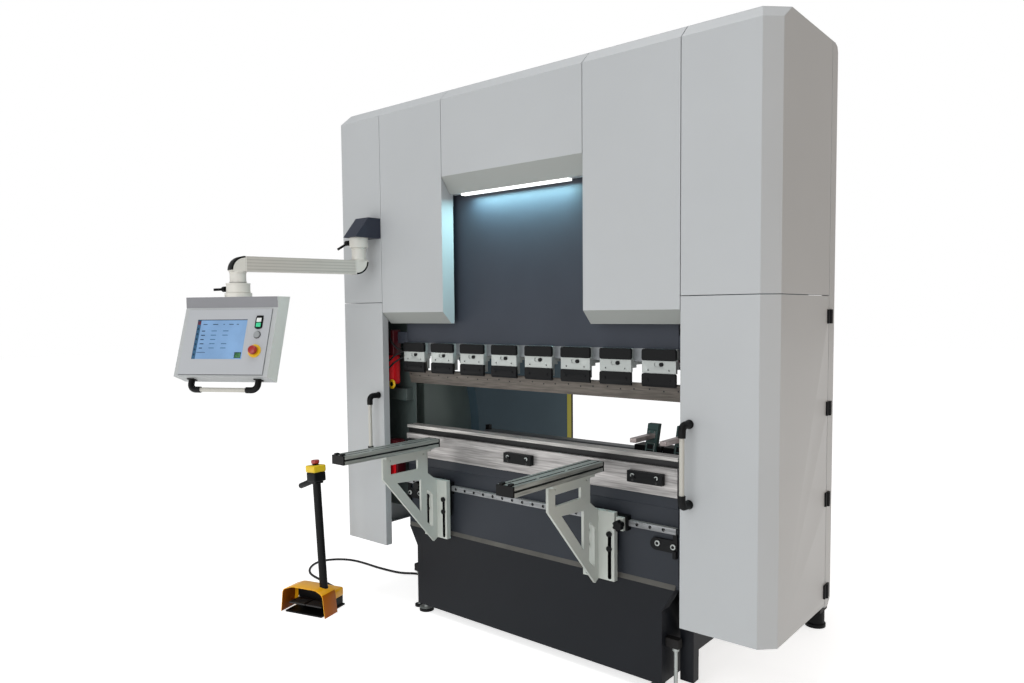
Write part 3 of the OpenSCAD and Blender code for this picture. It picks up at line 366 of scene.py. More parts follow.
# Lighter steel: wear with a painted highlight on the bench's top, and the bottom die's head.
WEAR_AND_SHEEN = Streaked("worn_steel_edge", "bab8b5", "ground_steel", 0.42, 0.5, variation=0.25, drift=40.0,
                grain=260.0, stretch=(0.04, 1.0, 1.0))
PUNCH = Streaked("punch_steel", "66605a", "bright_steel", 0.5, 0.5, variation=0.22, drift=22.0,
                 grain=240.0, stretch=(0.08, 1.0, 1.0))
BRIGHT = Finish("bright_steel", "a9aeac", "bright_steel", 0.4, 0.45, variation=0.07, grain=260.0,
                stretch=(0.1, 1.0, 1.0))
RAIL = Streaked("rail_steel", "8f9193", "bright_steel", 0.45, 0.6, variation=0.2, drift=30.0,
                grain=240.0, stretch=(0.06, 1.0, 1.0))
FINGER = Finish("finger_steel", "d3c6c4", "bright_steel", 0.36, 0.4, variation=0.14, drift=30.0,
                grain=240.0, stretch=(0.1, 1.0, 1.0))
BARE = Finish("bare_machined_steel", "7d8083", "bright_steel", 0.42, 0.7, variation=0.12,
              grain=240.0, stretch=(0.1, 1.0, 1.0))
DARK_STEEL = Finish("dark_steel", "2a2a2b", "black_steel", 0.5, 0.4, variation=0.15, shine=0.3)
BLACKED = Finish("blackened_steel", "0b0c0e", "black_steel", 0.5, variation=0.2, shine=0.16)
BLACK = Finish("black_plastic", "08090a", "black_plastic", 0.5, variation=0.12, shine=0.16)
TREAD = Finish("tread_dark", "1c1a1b", "black_plastic", 0.5, variation=0.2, drift=30.0, shine=0.4)
GREEN = Finish("finger_green", "3b5755", "green_plastic", 0.42, variation=0.12, shine=0.35)
GREEN_KEY = Glow("green_key", "35b583", "green_plastic", 0.35, strength=0.25)
WHITE_KEY = Finish("white_key", "d5d8d6", "light_plastic", 0.35)
HANDLE = Finish("handle_tube_light", "bab8b0", "light_plastic", 0.32, variation=0.04, shine=0.5)
GREY_KEY = Finish("grey_key", "8e9294", "light_plastic", 0.4)
RED_KEY = Finish("red_button", "9c170c", "red_plastic", 0.3, coat=0.2, variation=0.08)
YELLOW_KEY = Finish("yellow_ring", "e0b318", "yellow_paint", 0.4)
RUBBER = Finish("cable_rubber", "111112", "black_rubber", 0.6, variation=0.15, shine=0.3)
ALLOY = Streaked("slotted_alloy", "a0a39e", "profile_alu", 0.4, 0.4, variation=0.22, drift=26.0,
                 grain=300.0, stretch=(1.0, 0.06, 1.0))
# Painted shade: the dark inside of the profiles' slots.
SLOT_SHADE = Finish("slot_dark", "33393a", "profile_alu", 0.55, 0.3, variation=0.15, shine=0.3)
LAMP = Glow("lamp_diffuser", "f4f5f2", "lamp", 0.4, strength=1.6)
DUCT = Finish("duct_grey_green", "4c5755", "ground_steel", 0.5)
UNIT_RED = Finish("unit_red", "8e1c22", "ground_steel", 0.5)
UNIT_GREY = Finish("unit_grey", "565c61", "ground_steel", 0.5)
CABINET = Finish("cabinet_grey_green", "879490", "ground_steel", 0.5, variation=0.1)
SCREEN = Glow("screen_blue", "7396bd", "screen_glass", 0.25, variation=0.10, drift=9.0,
              bump=0.000005, strength=0.12)
SCREEN_DARK = Glow("screen_dark", "16273a", "screen_glass", 0.25, strength=0.02)
SCREEN_BAR = Glow("screen_bar", "2f5878", "screen_glass", 0.25, strength=0.05)
SCREEN_GREEN = Glow("screen_green", "6fbf74", "screen_glass", 0.25, strength=0.15)
SCREEN_RED = Glow("screen_red", "8a3036", "screen_glass", 0.25, strength=0.05)


# ---------------------------------------------------------------- mesh tools


@dataclass(frozen=True)
class Spot:
    """What is known about one face when its finish is picked.

    Attributes:
        at: Middle of the face.
        way: Outward direction of the face.
        island: Middle of the box round the face's island.
    """

    at: Vector
    way: Vector
    island: Vector


Cut = tuple[Axis, float]


def once(items: Iterable) -> list:
    """Returns each item once, in the order of first sight."""
    return list(dict.fromkeys(items))


def as_object(bm: bmesh.types.BMesh, name: str, finishes: Sequence[Finish],
              smooth: float) -> bpy.types.Object:
    """Makes a finished mesh an object of the scene, and frees the bmesh.

    Args:
        bm: The mesh.
        name: Name of the object.
        finishes: Its finishes, in the order of the faces' numbers.
        smooth: Angle under which edges shade smooth, in degrees.

    Returns:
        The new object.
    """
    mesh = bpy.data.meshes.new(name)
    bm.to_mesh(mesh)
    bm.free()
    for finish in finishes:
        mesh.materials.append(finish.material())
    mesh.shade_smooth()
    mesh.set_sharp_from_angle(angle=math.radians(smooth))
    made = bpy.data.objects.new(name, mesh)
    bpy.context.scene.collection.objects.link(made)
    return made


class Sculptor:
    """Shapes one mesh piece with bmesh operators and publishes it as an object."""

    def __init__(self, finishes: Sequence[Finish]) -> None:
        """Starts an empty piece.

        Args:
            finishes: Finishes of the piece; faces choose among them by number.
        """
        self.bm = bmesh.new()
        self.finishes = list(finishes)

    def _tag(self, verts: Iterable[bmesh.types.BMVert], number: int) -> None:
        """Gives the faces of some vertices a finish."""
        for face in once(f for v in verts for f in v.link_faces):
            face.material_index = number

    def _outward(self, verts: Iterable[bmesh.types.BMVert]) -> None:
        """Turns the faces of some vertices outwards."""
        faces = once(f for v in verts for f in v.link_faces)
        bmesh.ops.recalc_face_normals(self.bm, faces=faces)

    def _round(self, verts: list[bmesh.types.BMVert], width: float, steps: int,
               limit: float = 0.5) -> list[bmesh.types.BMVert]:
        """Bevels the sharp edges between some vertices.

        Args:
            verts: The vertices.
            width: Width of the rounding.
            steps: Segments of the rounding.
            limit: Edges that turn further than this are rounded, in radians.

        Returns:
            The vertices that are left, and the new ones.
        """
        if width <= 0:
            return verts
        edges = [e for e in once(e for v in verts for e in v.link_edges)
                 if len(e.link_faces) == 2 and e.calc_face_angle(0.0) > limit]
        made = bmesh.ops.bevel(self.bm, geom=edges, offset=width, offset_type="OFFSET",
                               affect="EDGES", segments=steps, profile=0.5, material=-1,
                               clamp_overlap=True)
        return once([v for v in verts if v.is_valid] + made["verts"])

    def box(self, low: Point, high: Point, finish: int = 0, width: float = 0.0,
            steps: int = 2) -> "Sculptor":
        """Adds a block with rounded edges.

        Args:
            low: Lowest corner.
            high: Highest corner.
            finish: Number of its finish.
            width: Width of the edge rounding.
            steps: Segments of the rounding.

        Returns:
            The same builder.
        """
        a, b = Vector(low), Vector(high)
        made = bmesh.ops.create_cube(self.bm, size=1.0)["verts"]
        bmesh.ops.scale(self.bm, vec=b - a, verts=made)
        bmesh.ops.translate(self.bm, vec=(a + b) / 2, verts=made)
        self._tag(self._round(made, width, steps), finish)
        return self

    def rod(self, start: Point, end: Point, radius: float, finish: int = 0,
            top: Optional[float] = None, sides: int = 32, width: float = 0.0,
            steps: int = 2) -> "Sculptor":
        """Adds a round bar or cone between two points.

        Args:
            start: Middle of the first end.
            end: Middle of the second end.
            radius: Radius at the first end.
            finish: Number of its finish.
            top: Radius at the second end, if another.
            sides: Number of sides.
            width: Rounding of the two rims.
            steps: Segments of the rounding.

        Returns:
            The same builder.
        """
        a, b = Vector(start), Vector(end)
        span = b - a
        made = bmesh.ops.create_cone(self.bm, cap_ends=True, segments=sides, radius1=radius,
                                     radius2=radius if top is None else top,
                                     depth=span.length)["verts"]
        made = self._round(made, width, steps, limit=0.9)
        turn = Axis.Z.way.rotation_difference(span.normalized()).to_matrix().to_4x4()
        bmesh.ops.transform(self.bm, matrix=Matrix.Translation((a + b) / 2) @ turn, verts=made)
        self._tag(made, finish)
        return self

    def prism(self, outline: Sequence[Pair], low: float, high: float, finish: int = 0,
              width: float = 0.0) -> "Sculptor":
        """Adds an outline drawn out along Y.

        Args:
            outline: Corners, as (X, Z).
            low: Start along Y.
            high: End along Y.
            finish: Number of its finish.
            width: Rounding of the edges.

        Returns:
            The same builder.
        """
        corners = [self.bm.verts.new((x, low, z)) for x, z in outline]
        face = self.bm.faces.new(corners)
        grown = bmesh.ops.extrude_face_region(self.bm, geom=[face])
        moved = [g for g in grown["geom"] if isinstance(g, bmesh.types.BMVert)]
        bmesh.ops.translate(self.bm, vec=Axis.Y.way * (high - low), verts=moved)
        made = corners + moved
        self._outward(made)
        self._tag(self._round(made, width, 2, limit=0.35), finish)
        return self

    def turned(self, profile: Sequence[Pair], centre: Point, direction: Point, finish: int = 0,
               steps: int = 40) -> "Sculptor":
        """Adds a turned shape: a profile spun a full turn about an axis.

        Args:
            profile: Points as (radius, height along the axis), from one end to the other.
            centre: Point of the axis at height 0.
            direction: Way of the axis.
            finish: Number of its finish.
            steps: Steps of the turn.

        Returns:
            The same builder.
        """
        line = [self.bm.verts.new((r, 0, h)) for r, h in profile]
        edges = [self.bm.edges.new((a, b)) for a, b in zip(line, line[1:])]
        before = set(self.bm.verts) - set(line)
        bmesh.ops.spin(self.bm, geom=line + edges, cent=(0, 0, 0), axis=(0, 0, 1), dvec=(0, 0, 0),
                       angle=math.tau, steps=steps, use_merge=True, use_duplicate=False)
        made = [v for v in self.bm.verts if v not in before]
        bmesh.ops.remove_doubles(self.bm, verts=made, dist=1e-6)
        made = [v for v in self.bm.verts if v not in before]
        self._outward(made)
        turn = Axis.Z.way.rotation_difference(Vector(direction).normalized())
        matrix = Matrix.Translation(centre) @ turn.to_matrix().to_4x4()
        bmesh.ops.transform(self.bm, matrix=matrix, verts=made)
        self._tag(made, finish)
        return self

    def swept(self, points: Sequence[Point], radius: float, finish: int = 0,
              sides: int = 16) -> "Sculptor":
        """Adds a tube along a path, by extruding a ring from point to point.

        Args:
            points: Path of the tube's middle.
            radius: Radius of the tube.
            finish: Number of its finish.
            sides: Sides of the tube.

        Returns:
            The same builder.
        """
        path = [Vector(p) for p in points]
        frames = self._frames(path)
        ring = bmesh.ops.create_circle(self.bm, cap_ends=True, segments=sides,
                                       radius=radius)["verts"]
        made = list(ring)
        now = frames[0]
        bmesh.ops.transform(self.bm, matrix=now, verts=ring)
        front = once(f for v in ring for f in v.link_faces)
        for new in frames[1:]:
            grown = bmesh.ops.extrude_face_region(self.bm, geom=front)
            verts = [g for g in grown["geom"] if isinstance(g, bmesh.types.BMVert)]
            front = [g for g in grown["geom"] if isinstance(g, bmesh.types.BMFace)]
            bmesh.ops.transform(self.bm, matrix=new @ now.inverted(), verts=verts)
            made += verts
            now = new
        self._outward(made)
        self._tag(made, finish)
        return self

    @staticmethod
    def _frames(path: Sequence[Vector]) -> list[Matrix]:
        """Stands a frame on every point of a path, without a twist from one to the next.

        Args:
            path: The points.

        Returns:
            The frames, whose Z axes follow the path.
        """
        last = len(path) - 1
        ways = [(path[min(i + 1, last)] - path[max(i - 1, 0)]).normalized()
                for i in range(len(path))]
        top = Axis.Z.way if abs(ways[0].z) < 0.9 else Axis.Y.way
        frames = []
        for point, way in zip(path, ways):
            side = way.cross(top).normalized()
            top = side.cross(way).normalized()
            frames.append(Matrix.Translation(point)
                          @ Matrix((side, top, way)).transposed().to_4x4())
        return frames

    def screw(self, centre: Point, direction: Point, radius: float, height: float, head: int,
              socket: int) -> "Sculptor":
        """Adds a cap screw with a socket.

        Args:
            centre: Middle of the head's foot.
            direction: Way that the head faces.
            radius: Radius of the head.
            height: Height of the head.
            head: Number of the head's finish.
            socket: Number of the finish of the dark hexagon in the socket, a painted shade.

        Returns:
            The same builder.
        """
        shape = [(0.0, 0.0), (radius, 0.0), (radius, height * 0.8), (radius * 0.88, height),
                 (radius * 0.55, height), (radius * 0.5, height * 0.55), (0.0, height * 0.55)]
        self.turned(shape, centre, direction, head, steps=20)
        # The socket is a dark hexagon in its own finish: painted shade.
        way = Vector(direction).normalized()
        start = Vector(centre) + way * height * 0.4
        return self.rod(tuple(start), tuple(start + way * height * 0.25), radius * 0.53, socket,
                        sides=6)

    def repaint(self, number: int, choose: Callable[[Vector, Vector], bool]) -> "Sculptor":
        """Changes the finish of the faces that a test picks.

        Args:
            number: Number of the new finish.
            choose: Takes a face's middle and way, and says whether it changes.

        Returns:
            The same builder.
        """
        self.bm.normal_update()
        for face in self.bm.faces:
            if choose(face.calc_center_median(), face.normal):
                face.material_index = number
        return self

    def mirrored(self) -> "Sculptor":
        """Adds the mirror image on the other side of the machine.

        Returns:
            The same builder.
        """
        whole = list(self.bm.verts) + list(self.bm.edges) + list(self.bm.faces)
        copy = bmesh.ops.duplicate(self.bm, geom=whole)["geom"]
        verts = [g for g in copy if isinstance(g, bmesh.types.BMVert)]
        faces = [g for g in copy if isinstance(g, bmesh.types.BMFace)]
        bmesh.ops.scale(self.bm, vec=(-1, 1, 1), verts=verts)
        bmesh.ops.reverse_faces(self.bm, faces=faces)
        return self

    def flipped(self) -> "Sculptor":
        """Moves the whole piece to the other side of the machine.

        Returns:
            The same builder.
        """
        bmesh.ops.scale(self.bm, vec=(-1, 1, 1), verts=list(self.bm.verts))
        bmesh.ops.reverse_faces(self.bm, faces=list(self.bm.faces))
        return self

    def publish(self, name: str, body: str, nodes: Sequence[str] = (), smooth: float = 35.0,
                place: Optional[Matrix] = None) -> bpy.types.Object:
        """Makes the object, dresses it and ties it to its body.

        Args:
            name: Name of the piece.
            body: CAD body that it rides on.
            nodes: CAD nodes that it stands for.
            smooth: Angle under which edges shade smooth, in degrees.
            place: Matrix applied to the whole piece.

        Returns:
            The new object.
        """
        if place is not None:
            bmesh.ops.transform(self.bm, matrix=place, verts=list(self.bm.verts))
        made = as_object(self.bm, name, self.finishes, smooth)
        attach(made, body)
        if nodes:
            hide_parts(*nodes)
        LOG.info("%s: %d faces on %s", name, len(made.data.polygons), body)
        return made


@dataclass
class Workshop:
    """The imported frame, and the ways to dress or refine its nodes.

    Attributes:
        edge_angle: Edges of a node that turn further than this are rounded, in degrees.
        smooth: Angle under which a node's edges shade smooth, in degrees.
        weld: Distance under which a node's loose corners are merged.
        flat: Turn under which a node's triangles are joined, in degrees.
    """

    packed: dict
    edge_angle: float = 30.0
    smooth: float = 32.0
    weld: float = 2e-5
    flat: float = 0.5

    def body_of(self, node: str) -> str:
        """Looks up the CAD body that holds a node.

        Args:
            node: Name of the node.

        Returns:
            Name of the body.
        """
        for name, nodes in self.packed["record"]["behaviour"]["bodies"].items():
            if node in nodes:
                return name
        raise KeyError(node)

    def dress(self, finish: Finish, *nodes: str) -> None:
        """Gives CAD nodes a finish as they are.

        Args:
            finish: The finish.
            nodes: Names of the nodes.
        """
        for node in nodes:
            made = self.packed["nodes"][node]
            made.data.materials.clear()
            made.data.materials.append(finish.material())

    def refine(self, node: str, finishes: Sequence[Finish], width: float, steps: int = 2,
               choose: Optional[Callable[[Spot], int]] = None, cuts: Sequence[Cut] = (),
               frame: Optional[Matrix] = None, corner: float = 0.0) -> bpy.types.Object:
        """Copies a CAD node, merges it, softens its edges and gives it its finishes.

        Args:
            node: Name of the node.
            finishes: Finishes of the copy.
            width: Width of the edge rounding.
            steps: Segments of the rounding.
            choose: Picks the number of a face's finish.
            cuts: Planes that part the faces, each across an axis at a distance.
            frame: Frame of those planes, if not the machine's own.
            corner: Radius of the outer corners along Y.

        Returns:
            The copy, which stands for the node.
        """
        bm = bmesh.new()
        bm.from_mesh(self.packed["nodes"][node].data)
        bmesh.ops.remove_doubles(bm, verts=bm.verts, dist=self.weld)
        bmesh.ops.dissolve_limit(bm, angle_limit=math.radians(self.flat), verts=bm.verts,
                                 edges=bm.edges)
        if corner > 0:
            self._corners(bm, corner)
        self._cut(bm, Matrix.Identity(4) if frame is None else frame, cuts)
        if choose is not None:
            self._choose(bm, choose)
        made = as_object(bm, f"{node}_piece", finishes, self.smooth)
        soft = made.modifiers.new("edges", "BEVEL")
        soft.width = width
        soft.segments = steps
        soft.limit_method = "ANGLE"
        soft.angle_limit = math.radians(self.edge_angle)
        soft.profile = 0.5
        soft.use_clamp_overlap = True
        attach(made, self.body_of(node))
        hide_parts(node)
        LOG.info("%s refined: %d faces", node, len(made.data.polygons))
        return made

    @staticmethod
    def _corners(bm: bmesh.types.BMesh, radius: float) -> None:
        """Rounds the square outer edges along Y.

        Args:
            bm: The mesh.
            radius: Radius of the rounding.
        """
        square, shortest, straight = math.radians(80), 0.008, 0.999
        picked = [edge for edge in bm.edges
                  if len(edge.link_faces) == 2 and edge.is_convex
                  and edge.calc_length() > shortest
                  and abs((edge.verts[1].co - edge.verts[0].co).normalized().y) > straight
                  and edge.calc_face_angle(0.0) > square]
        bmesh.ops.bevel(bm, geom=picked, offset=radius, offset_type="OFFSET", segments=4,
                        profile=0.5, affect="EDGES", material=-1, clamp_overlap=True)

    @staticmethod
    def _cut(bm: bmesh.types.BMesh, frame: Matrix, cuts: Sequence[Cut]) -> None:
        """Parts the faces along planes.

        Args:
            bm: The mesh.
            frame: Frame of the planes.
            cuts: The planes, each across an axis at a distance.
        """
        for axis, distance in cuts:
            whole = list(bm.verts) + list(bm.edges) + list(bm.faces)
            bmesh.ops.bisect_plane(bm, geom=whole, dist=1e-6,
                                   plane_co=frame @ (axis.way * distance),
                                   plane_no=frame.to_3x3() @ axis.way)

    @staticmethod
    def _choose(bm: bmesh.types.BMesh, choose: Callable[[Spot], int]) -> None:
        """Walks the islands and asks for each face's finish.

        Args:
            bm: The mesh.
            choose: Picks the number of a face's finish.
        """
        seen: set[int] = set()
        bm.normal_update()
        bm.faces.ensure_lookup_table()
        bm.faces.index_update()
        for first in bm.faces:
            if first.index in seen:
                continue
            island = [first]
            seen.add(first.index)
            for face in island:
                for edge in face.edges:
                    for other in edge.link_faces:
                        if other.index not in seen:
                            seen.add(other.index)
                            island.append(other)
            corners = [v.co for f in island for v in f.verts]
            low = Vector([min(c[i] for c in corners) for i in range(3)])
            high = Vector([max(c[i] for c in corners) for i in range(3)])
            middle = (low + high) / 2
            for face in island:
                face.material_index = choose(Spot(face.calc_center_median(), face.normal, middle))


# ---------------------------------------------------------------- sub-assemblies


@dataclass
class Cable:
    """The foot switch's cable, lying on the floor from the left plate.

    Attributes:
        diameter: Thickness of the cable.
        route: Points of its way, from the machine to the switch.
    """

    diameter: float = 0.013
    route: tuple[Point, ...] = (
        (-0.812, 0.330, 0.200), (-0.860, 0.330, 0.196), (-0.910, 0.331, 0.160),
        (-0.940, 0.333, 0.090), (-0.975, 0.336, 0.024), (-1.040, 0.338, 0.007),
        (-1.115, 0.325, 0.007), (-1.209, 0.276, 0.007), (-1.362, 0.258, 0.007),
        (-1.520, 0.258, 0.007), (-1.620, 0.245, 0.007), (-1.700, 0.202, 0.007),
        (-1.748, 0.132, 0.007), (-1.742, 0.060, 0.007), (-1.687, -0.015, 0.007),
        (-1.602, -0.067, 0.007), (-1.489, -0.090, 0.007), (-1.345, -0.110, 0.007),
        (-1.262, -0.130, 0.008), (-1.216, -0.175, 0.020), (-1.190, -0.253, 0.034))

    def way(self, steps: int) -> list[Vector]:
        """Draws the smooth way through the route's points.

        Args:
            steps: Points from one route point to the next.

        Returns:
            The points of the way.
        """
        p = [Vector(q) for q in self.route]
        found = []
        for i in range(len(p) - 1):
            a, b, c, e = p[max(i - 1, 0)], p[i], p[i + 1], p[min(i + 2, len(p) - 1)]
            for k in range(steps):
                t = k / steps
                found.append(0.5 * (2 * b + (c - a) * t + (2 * a - 5 * b + 4 * c - e) * t * t
                                    + (3 * b - a - 3 * c + e) * t ** 3))
        found.append(p[-1])
        return found

    def build(self, _: Workshop) -> None:
        way = self.way(6)
        piece = (Sculptor([RUBBER]).swept(way, self.diameter / 2, sides=14)
                 .publish("foot_cable_piece", "base", ["foot_cable"], smooth=60))


@dataclass
class Studio:
    """Floor, backdrop, lamps and camera.

    Attributes:
        eye: Place of the camera.
        azimuth: Way it looks, turned from +Y, in degrees.
        down: How far it looks down, in degrees.
        roll: Turn about its own axis, in degrees.
        focal: Focal length over the width of the sensor.
        shift: Upward shift of the lens, over the same width.
        floor_light: Strength of the floor's own light, as the camera and metal see it.
        fill_light: Strength of the world's light on the machine.
    """

    eye: Point = (2.180, -2.722, 1.545)
    azimuth: float = 39.8283
    down: float = 3.3395
    roll: float = -0.529
    focal: float = 0.747681
    shift: float = 0.01532
    floor_light: float = 0.66
    fill_light: float = 0.42

    def build(self) -> None:
        """Builds the whole studio."""
        self.camera()
        self.floor()
        self.world()
        self.lamps()

    def camera(self) -> None:
        """Puts the camera in place."""
        a, e, r = (math.radians(v) for v in (self.azimuth, self.down, self.roll))
        ahead = Vector((-math.sin(a) * math.cos(e), math.cos(a) * math.cos(e), -math.sin(e)))
        right = ahead.cross(Vector((0, 0, 1))).normalized()
        up = right.cross(ahead)
        x = math.cos(r) * right + math.sin(r) * up
        y = math.cos(r) * up - math.sin(r) * right
        lens = bpy.data.cameras.new("camera")
        lens.sensor_fit = "HORIZONTAL"
        lens.sensor_width = 36.0
        lens.lens = 36.0 * self.focal
        lens.shift_y = self.shift
        lens.clip_end = 100.0
        made = bpy.data.objects.new("camera", lens)
        bpy.context.scene.collection.objects.link(made)
        made.matrix_world = (Matrix.Translation(self.eye)
                             @ Matrix((x, y, -ahead)).transposed().to_4x4())
        bpy.context.scene.camera = made

    def floor(self) -> None:
        """Lays the pale floor, white to the camera and shadowed under the machine."""
        bm = bmesh.new()
        bmesh.ops.create_grid(bm, x_segments=2, y_segments=2, size=30.0)
        mesh = bpy.data.meshes.new("floor")
        bm.to_mesh(mesh)
        bm.free()
        paint = bpy.data.materials.new("floor_white")
        paint.use_nodes = True
        nodes, links = paint.node_tree.nodes, paint.node_tree.links
        shader = nodes["Principled BSDF"]
        shader.inputs["Base Color"].default_value = (0.9, 0.9, 0.9, 1)
        shader.inputs["Roughness"].default_value = 0.9
        shader.inputs["Emission Color"].default_value = (1, 1, 1, 1)
        sight = nodes.new("ShaderNodeLightPath")
        seen = nodes.new("ShaderNodeMath")
        seen.operation = "ADD"
        seen.use_clamp = True
        links.new(sight.outputs["Is Camera Ray"], seen.inputs[0])
        links.new(sight.outputs["Is Glossy Ray"], seen.inputs[1])
        power = nodes.new("ShaderNodeMath")
        power.operation = "MULTIPLY"
        power.inputs[1].default_value = self.floor_light
        links.new(seen.outputs[0], power.inputs[0])
        links.new(power.outputs[0], shader.inputs["Emission Strength"])
        mesh.materials.append(paint)
        made = bpy.data.objects.new("floor", mesh)
        bpy.context.scene.collection.objects.link(made)

    def world(self) -> None:
        """Sets an even pale surrounding light."""
        world = bpy.data.worlds.new("studio")
        bpy.context.scene.world = world
        world.use_nodes = True
        nodes, links = world.node_tree.nodes, world.node_tree.links
        ground = nodes["Background"]
        ground.inputs["Color"].default_value = (1, 1, 1, 1)
        sight = nodes.new("ShaderNodeLightPath")
        mix = nodes.new("ShaderNodeMapRange")
        mix.inputs["To Min"].default_value = self.fill_light
        mix.inputs["To Max"].default_value = 1.0
        links.new(sight.outputs["Is Camera Ray"], mix.inputs["Value"])
        links.new(mix.outputs["Result"], ground.inputs["Strength"])

    def lamps(self) -> None:
        """Hangs the soft lamps."""
        self.lamp("key", (0.9, -5.8, 2.2), (0, 0, 1.0), 4.6, 140)
        self.lamp("side", (6.0, 1.4, 2.2), (1.2, 0.2, 1.2), 3.0, 40, (1.0, 0.66, 0.36))
        self.lamp("top", (0.0, -1.0, 6.5), (0, -0.3, 0), 4.0, 120)
        self.lamp("left", (-2.3, -2.3, 0.9), (-1.0, -0.13, 0.8), 1.2, 9, (1.0, 0.98, 0.94))
        self.lamp("bay", (0.0, -0.076, 2.088), (0.0, -0.020, 1.0), 0.58, 4.6, (0.50, 0.93, 1.0),
                  0.03)

    def lamp(self, name: str, place: Point, aim: Point, size: float, power: float,
             colour: Point = (1.0, 1.0, 1.0), depth: float = 0.0) -> None:
        """Hangs one lamp.

        Args:
            name: Name of the lamp.
            place: Where it hangs.
            aim: Point that it shines at.
            size: Length of its side.
            power: Power in watts.
            colour: Colour of its light.
            depth: Its other side, if it isn't square.
        """
        light = bpy.data.lights.new(name, "AREA")
        light.size = size
        if depth > 0:
            light.shape = "RECTANGLE"
            light.size_y = depth
        light.energy = power
        light.color = colour
        made = bpy.data.objects.new(name, light)
        bpy.context.scene.collection.objects.link(made)
        way = Vector(aim) - Vector(place)
        turn = way.to_track_quat("-Z", "Y").to_matrix().to_4x4()
        made.matrix_world = Matrix.Translation(place) @ turn


@dataclass
class Shell:
    """Covers, doors, posts, roof, hinges and door handles.

    Attributes:
        edge: Rounding of the sheet edges.
        leaf_x: Distance from the middle beyond which a door's faces are hinge leaves.
        handle_x: Distance of the handles from the middle.
        handle_y: Place of the handles' bars.
        cover_y: Front of the covers.
        handle_z: Height of a handle's middle.
        span: Distance between a handle's two ends.
        bar: Radius of a handle's bar.
        elbow: Radius of a handle's ends.
        curve: Radius of their bends.
        grip_gap: Distance from a handle's end to its light bar.
    """

    edge: float = 0.0012
    leaf_x: float = 1.1955
    handle_x: float = 0.877
    handle_y: float = -0.195
    cover_y: float = -0.135
    handle_z: float = 0.974
    span: float = 0.302
    bar: float = 0.0095
    elbow: float = 0.0145
    curve: float = 0.022
    grip_gap: float = 0.030

    def build(self, shop: Workshop) -> None:
        """Refines every cover and makes the handles.

        Args:
            shop: The workshop.
        """
        shop.refine("front_covers", [COVER, COVER_SHADE], self.edge, choose=self.slant)
        for node in ("outer_covers", "rear_posts", "roof_cover"):
            shop.refine(node, [COVER], self.edge)
        for side in Side:
            shop.refine(f"door_{side.word}", [COVER, BLACKED], self.edge, choose=self.hinge_face)
            self.handle(side)
        shop.refine("hinge_leaves", [BLACKED], 0.001)
        shop.dress(LAMP, "work_light")

    @staticmethod
    def slant(spot: Spot) -> int:
        """Paints shade on the sloping lower faces of the covers."""
        return 1 if spot.way.z < -0.3 and spot.way.y < -0.3 else 0

    def hinge_face(self, spot: Spot) -> int:
        """Blackens the hinge leaves on a door."""
        return 1 if abs(spot.at.x) > self.leaf_x else 0

    def handle(self, side: Side) -> None:
        """Makes one handle: a light bar between two black elbows.

        Args:
            side: Side of the door.
        """
        x, half = self.handle_x, self.span / 2
        piece = Sculptor([HANDLE, BLACK])
        reach = half - self.grip_gap
        piece.rod((x, self.handle_y, self.handle_z - reach),
                  (x, self.handle_y, self.handle_z + reach), self.bar)
        for s in (-1, 1):
            z = self.handle_z + s * half
            piece.swept(self.bend(x, z, s), self.elbow, 1, sides=20)
            piece.rod((x, self.cover_y, z), (x, self.cover_y - 0.006, z), self.elbow + 0.003, 1,
                      width=0.0015)
        if side is Side.LEFT:
            piece.flipped()
        piece.publish(f"handle_{side.word}_piece", "door_r" if side is Side.RIGHT else "door_l",
                      [f"handle_{side.word}"], smooth=60)

    def bend(self, x: float, z: float, s: int) -> list[Point]:
        """Draws the way of one elbow, from the door round into the bar.

        Args:
            x: Distance of the handle from the middle.
            z: Height of the elbow's foot.
            s: 1 for the upper elbow, -1 for the lower one.

        Returns:
            The points of the way.
        """
        r = self.curve
        way = [(x, self.cover_y, z)]
        for k in range(7):
            a = math.radians(90 * k / 6)
            way.append((x, self.handle_y + r - r * math.sin(a), z - s * r * (1 - math.cos(a))))
        way.append((x, self.handle_y, z - s * 2 * r))
        return way


